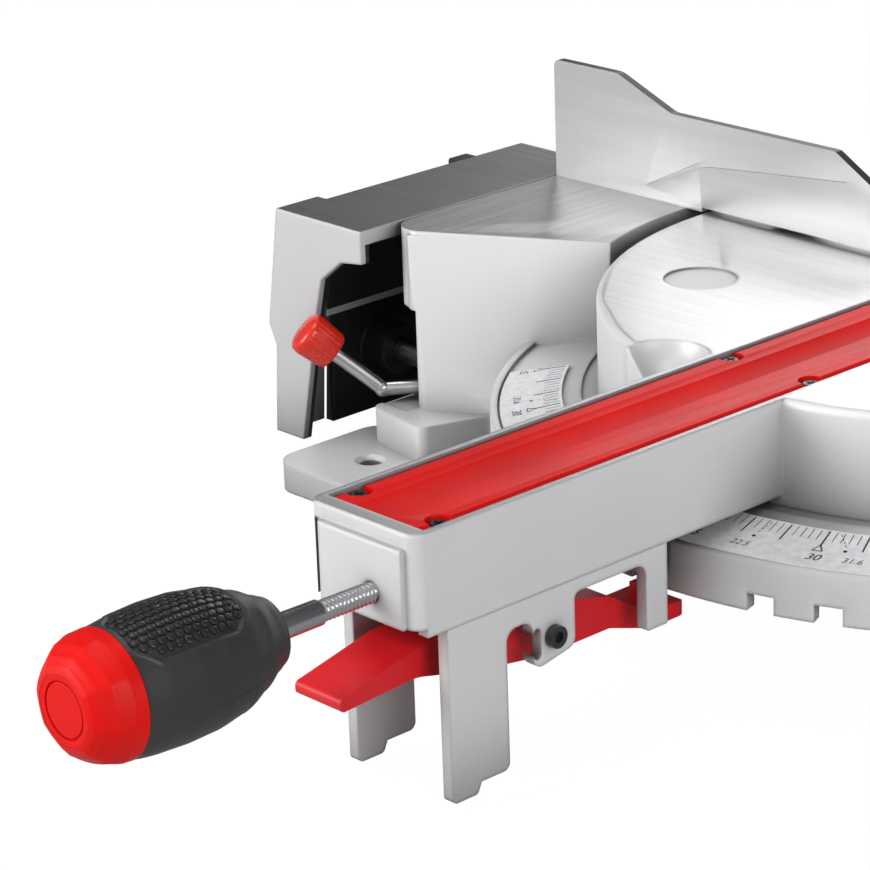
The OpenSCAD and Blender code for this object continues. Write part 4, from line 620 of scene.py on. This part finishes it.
def make_knob(node):
    """A round knob with a domed end and fine ribs."""
    mid = centre_of(node)
    bend = LEVER_BEND * Vector((math.copysign(1, mid.x), 1, 1))
    turn = (mid - bend).to_track_quat("Z", "Y").to_matrix()
    count = 144
    verts = []
    for along, share in KNOB_SHARES:
        for k in range(count):
            a = FULL_TURN * k / count
            ribbed = RIB_FROM_SHARE < along < RIB_TO_SHARE
            r = share * KNOB_R + (RIB_HIGH * math.cos(a * RIB_COUNT) if ribbed else 0)
            verts.append(mid + turn @ Vector((r * math.cos(a), r * math.sin(a), along * KNOB_LEN)))
    faces = ring_faces(count, len(KNOB_SHARES))
    faces.append(tuple(range(count - 1, -1, -1)))
    add_piece(node + "_round", mesh_of(node + "_round", verts, faces, sharp=50), node, "knob")


# Marks on the mitre scale: angles in degrees from straight in front, radii from the turntable's axis
SCALE_ZERO = -10.4
SCALE_LIMIT = 55.5
TICK_ANGLES = range(-50, 67)
TICK_IN, TICK_SHORT, TICK_LONG = 0.1772, 0.1838, 0.1878
# Half widths of the strokes
THIN, MEDIUM, THICK = 0.00016, 0.00022, 0.00032
MARK_LIFT = 0.00004
STROKE_STEP = 0.002
LABELS = (0, 15, 22.5, 30, 31.6, 45)
LABEL_R = 0.1925
LABEL_SIZE, SIDE_LABEL_SIZE = 0.0058, 0.0046
LABEL_SLANT = 0.25
# Triangle over a whole angle
ROOF_FROM, ROOF_TO = TICK_LONG - 0.0008, 0.1908
ROOF_HALF = math.degrees(0.0020 / 0.188)
# Angles with a dot beside their tick: the dot's shift, and the number's shift from the dot
SIDE_SHIFTS = {22.5: (-0.6, -0.8), 31.6: (1.5, 1.3)}
DOT_R, DOT_PLACE = 0.0008, 0.1888
# Dashed line from the tick to the dot
DASHES, DASH_SHARE = 4, 0.14
DASH_FROM, DASH_LEN = TICK_IN + 0.0012, 0.0085


class ScaleInk:
    """Flat marks laid on the scale plate's sloping top."""

    def __init__(self):
        plate = bpy.data.objects["mitre_scale"]
        bm = bmesh.new()
        bm.from_mesh(plate.data)
        bm.transform(plate.matrix_world)
        self.plate = BVHTree.FromBMesh(bm)
        bm.free()
        self.verts, self.faces = [], []

    def point(self, r, degrees):
        """Number of a new point on the plate, or nothing beside the plate."""
        a = math.radians(degrees)
        x, y = r * math.sin(a), -r * math.cos(a)
        hit = self.plate.ray_cast(Vector((x, y, 2 * TABLE_Z)), DOWN)[0]
        if hit is None:
            return None
        self.verts.append((x, y, hit.z + MARK_LIFT))
        return len(self.verts) - 1

    def patch(self, points):
        if None not in points:
            self.faces.append(tuple(points))

    def stroke(self, r0, degrees0, r1, degrees1, half):
        """A stroke from one polar place to the other, in steps that follow the slope."""
        a = Vector((r0, math.radians(degrees0) * r0))
        b = Vector((r1, math.radians(degrees1) * r1))
        along = (b - a).normalized()
        side = Vector((-along.y, along.x)) * half
        last = (None, None)
        for p in steps(a, b, max(1, int((b - a).length / STROKE_STEP))):
            ends = [self.point(q.x, math.degrees(q.y / q.x)) for q in (p + side, p - side)]
            self.patch((last[0], last[1], ends[1], ends[0]))
            last = ends

    def tick(self, at, major):
        self.stroke(TICK_IN, at, TICK_LONG if major else TICK_SHORT, at, THICK if major else THIN)

    def roof(self, at):
        for sign in (-1, 1):
            self.stroke(ROOF_FROM, at, ROOF_TO, at + sign * ROOF_HALF, MEDIUM)
        self.stroke(ROOF_TO, at - ROOF_HALF, ROOF_TO, at + ROOF_HALF, MEDIUM)

    def dashes(self, at, mark):
        for part in range(DASHES):
            t0 = part / DASHES
            t1 = t0 + DASH_SHARE
            self.stroke(DASH_FROM + DASH_LEN * t0, at + (mark - at) * t0,
                        DASH_FROM + DASH_LEN * t1, at + (mark - at) * t1, THIN)

    def dot(self, mark):
        self.patch([self.point(DOT_PLACE + DOT_R * math.sin(k * math.pi / 6),
                               mark + math.degrees(DOT_R * math.cos(k * math.pi / 6) / DOT_PLACE))
                    for k in range(12)])

    def number(self, text, at, size):
        curve = bpy.data.curves.new("label", "FONT")
        curve.body = text
        curve.size = size
        curve.align_x = "CENTER"
        curve.align_y = "TOP"
        curve.shear = LABEL_SLANT
        curve.resolution_u = 3
        holder = bpy.data.objects.new("label", curve)
        flat = holder.to_mesh()
        placed = {}
        for poly in flat.polygons:
            for index in poly.vertices:
                if index not in placed:
                    place = flat.vertices[index].co
                    r = LABEL_R - place.y
                    placed[index] = self.point(r, at + math.degrees(place.x / r))
            self.patch([placed[index] for index in poly.vertices])
        holder.to_mesh_clear()
        bpy.data.objects.remove(holder)
        bpy.data.curves.remove(curve)

    def label(self, value, sign):
        at = SCALE_ZERO + sign * value
        if abs(at) > SCALE_LIMIT:
            return
        if value in SIDE_SHIFTS:
            dot_shift, number_shift = SIDE_SHIFTS[value]
            mark = at + sign * dot_shift
            self.dashes(at, mark)
            self.dot(mark)
            self.number(f"{value:g}", mark + sign * number_shift, SIDE_LABEL_SIZE)
        else:
            self.roof(at)
            self.number(f"{value:g}", at, LABEL_SIZE)


def make_scale_marks():
    ink = ScaleInk()
    for angle in TICK_ANGLES:
        at = SCALE_ZERO + angle
        if abs(at) <= SCALE_LIMIT:
            ink.tick(at, major=angle % 5 == 0)
    for value in LABELS:
        for sign in (1, -1) if value else (1,):
            ink.label(value, sign)
    add_piece("scale_marks", mesh_of("scale_marks", ink.verts, ink.faces), "mitre_scale", "ink",
              replaces=False)


# Camera, solved from the photograph in the part's own frame; its angles are in degrees
CAMERA_AT = (0.83943, -1.06682, 0.54848)
CAMERA_AZIMUTH = 47.910218
CAMERA_ELEVATION = 20.282445
CAMERA_ROLL = -2.088707
PICTURE_PIXELS = 870
FOCAL_PIXELS = 3446.5
SENSOR = 36.0


def make_camera():
    azimuth, elevation, roll = map(math.radians, (CAMERA_AZIMUTH, CAMERA_ELEVATION, CAMERA_ROLL))
    back = Vector((math.sin(azimuth) * math.cos(elevation), -math.cos(azimuth) * math.cos(elevation),
                   math.sin(elevation)))
    level = Vector((math.cos(azimuth), math.sin(azimuth), 0))
    right = level * math.cos(roll) + back.cross(level) * math.sin(roll)
    data = bpy.data.cameras.new("camera")
    data.sensor_width = SENSOR
    data.lens = FOCAL_PIXELS / PICTURE_PIXELS * SENSOR
    data.clip_end = 20
    camera = bpy.data.objects.new("camera", data)
    bpy.context.scene.collection.objects.link(camera)
    turn = Matrix((right, back.cross(right), back)).transposed().to_4x4()
    camera.matrix_world = Matrix.Translation(CAMERA_AT) @ turn
    bpy.context.scene.camera = camera


# Backdrop, floor and lights
WHITE = (1, 1, 1, 1)
# Strength of the white that the camera sees, and of the soft light that falls on the saw
SEEN_STRENGTH = 1.06
SOFT_STRENGTH = 0.60
# The soft light is bright on one side and dark on the other
BRIGHT_SIDE = (0.25, -0.95, 0.05)
DARK_FROM, BRIGHT_FROM = 0.25, 0.85
DARK_TONE = (0.16, 0.16, 0.17, 1)
FLOOR_HALF = 6
FLOOR_TONE = (0.42, 0.42, 0.43, 1)
FLOOR_SEEN_SHARE = 0.93
# Square lamps: place, point aimed at, side and power
LAMPS = {
    "key": ((-1.3, -2.3, 1.0), (0, -0.1, 0.1), 1.5, 46),
    "fill": ((2.5, -0.9, 0.9), (0, -0.1, 0.1), 1.2, 27),
    "top": ((-0.3, -0.4, 2.6), (0, 0, 0.1), 1.2, 14),
    "back": ((-1.4, 2.0, 1.3), (0, 0, 0.1), 1.0, 10),
}


def make_backdrop():
    """White where the camera looks, and a soft light graded from one side to the other."""
    world = bpy.data.worlds.new("world")
    bpy.context.scene.world = world
    world.use_nodes = True
    nodes, links = world.node_tree.nodes, world.node_tree.links
    seen = nodes["Background"]
    seen.inputs["Color"].default_value = WHITE
    seen.inputs["Strength"].default_value = SEEN_STRENGTH
    soft = nodes.new("ShaderNodeBackground")
    soft.inputs["Strength"].default_value = SOFT_STRENGTH
    place = nodes.new("ShaderNodeTexCoord")
    toward = nodes.new("ShaderNodeVectorMath")
    toward.operation = "DOT_PRODUCT"
    toward.inputs[1].default_value = BRIGHT_SIDE
    lift = nodes.new("ShaderNodeMapRange")
    lift.inputs["From Min"].default_value = -1
    shades = nodes.new("ShaderNodeValToRGB")
    for stop, at, tone in zip(shades.color_ramp.elements, (DARK_FROM, BRIGHT_FROM), (DARK_TONE, WHITE)):
        stop.position = at
        stop.color = tone
    path = nodes.new("ShaderNodeLightPath")
    mix = nodes.new("ShaderNodeMixShader")
    for out, into in (
            (place.outputs["Generated"], toward.inputs[0]),
            (toward.outputs["Value"], lift.inputs["Value"]),
            (lift.outputs["Result"], shades.inputs["Fac"]),
            (shades.outputs["Color"], soft.inputs["Color"]),
            (path.outputs["Is Camera Ray"], mix.inputs["Fac"]),
            (soft.outputs["Background"], mix.inputs[1]),
            (seen.outputs["Background"], mix.inputs[2]),
            (mix.outputs["Shader"], nodes["World Output"].inputs["Surface"])):
        links.new(out, into)


def floor_material():
    """Almost all white glow to the camera, with a faint shadow, and plain grey to every other ray."""
    t = Tree("floor_white")
    t.finish(FLOOR_TONE, 0.7)
    glow = t.add("ShaderNodeEmission")
    glow.inputs["Color"].default_value = WHITE
    glow.inputs["Strength"].default_value = SEEN_STRENGTH
    cover = t.add("ShaderNodeMixShader")
    path = t.add("ShaderNodeLightPath")
    share = t.calc("MULTIPLY", path.outputs["Is Camera Ray"], FLOOR_SEEN_SHARE)
    t.join(share, cover.inputs["Fac"])
    t.join(t.shader.outputs["BSDF"], cover.inputs[1])
    t.join(glow.outputs["Emission"], cover.inputs[2])
    t.join(cover.outputs["Shader"], t.nodes["Material Output"].inputs["Surface"])
    return t.mat


def make_floor():
    corners = [(x * FLOOR_HALF, y * FLOOR_HALF, 0) for x, y in ((-1, -1), (1, -1), (1, 1), (-1, 1))]
    mesh = mesh_of("floor", corners, [(0, 1, 2, 3)])
    mesh.materials.append(floor_material())
    floor = bpy.data.objects.new("floor", mesh)
    bpy.context.scene.collection.objects.link(floor)


def make_lamps():
    for name, (place, aim, side, power) in LAMPS.items():
        data = bpy.data.lights.new(name, "AREA")
        data.size = side
        data.energy = power
        lamp = bpy.data.objects.new(name, data)
        bpy.context.scene.collection.objects.link(lamp)
        lamp.location = place
        lamp.rotation_euler = (Vector(aim) - lamp.location).to_track_quat("-Z", "Y").to_euler()


bpy.context.scene.view_settings.view_transform = "Standard"
make_camera()
dress_nodes()
for node, width in EDGE_WIDTH.items():
    soften(node, width)
make_handle()
for node in ("lock_knob_left", "lock_knob_right"):
    make_knob(node)
make_scale_marks()
make_backdrop()
make_floor()
make_lamps()
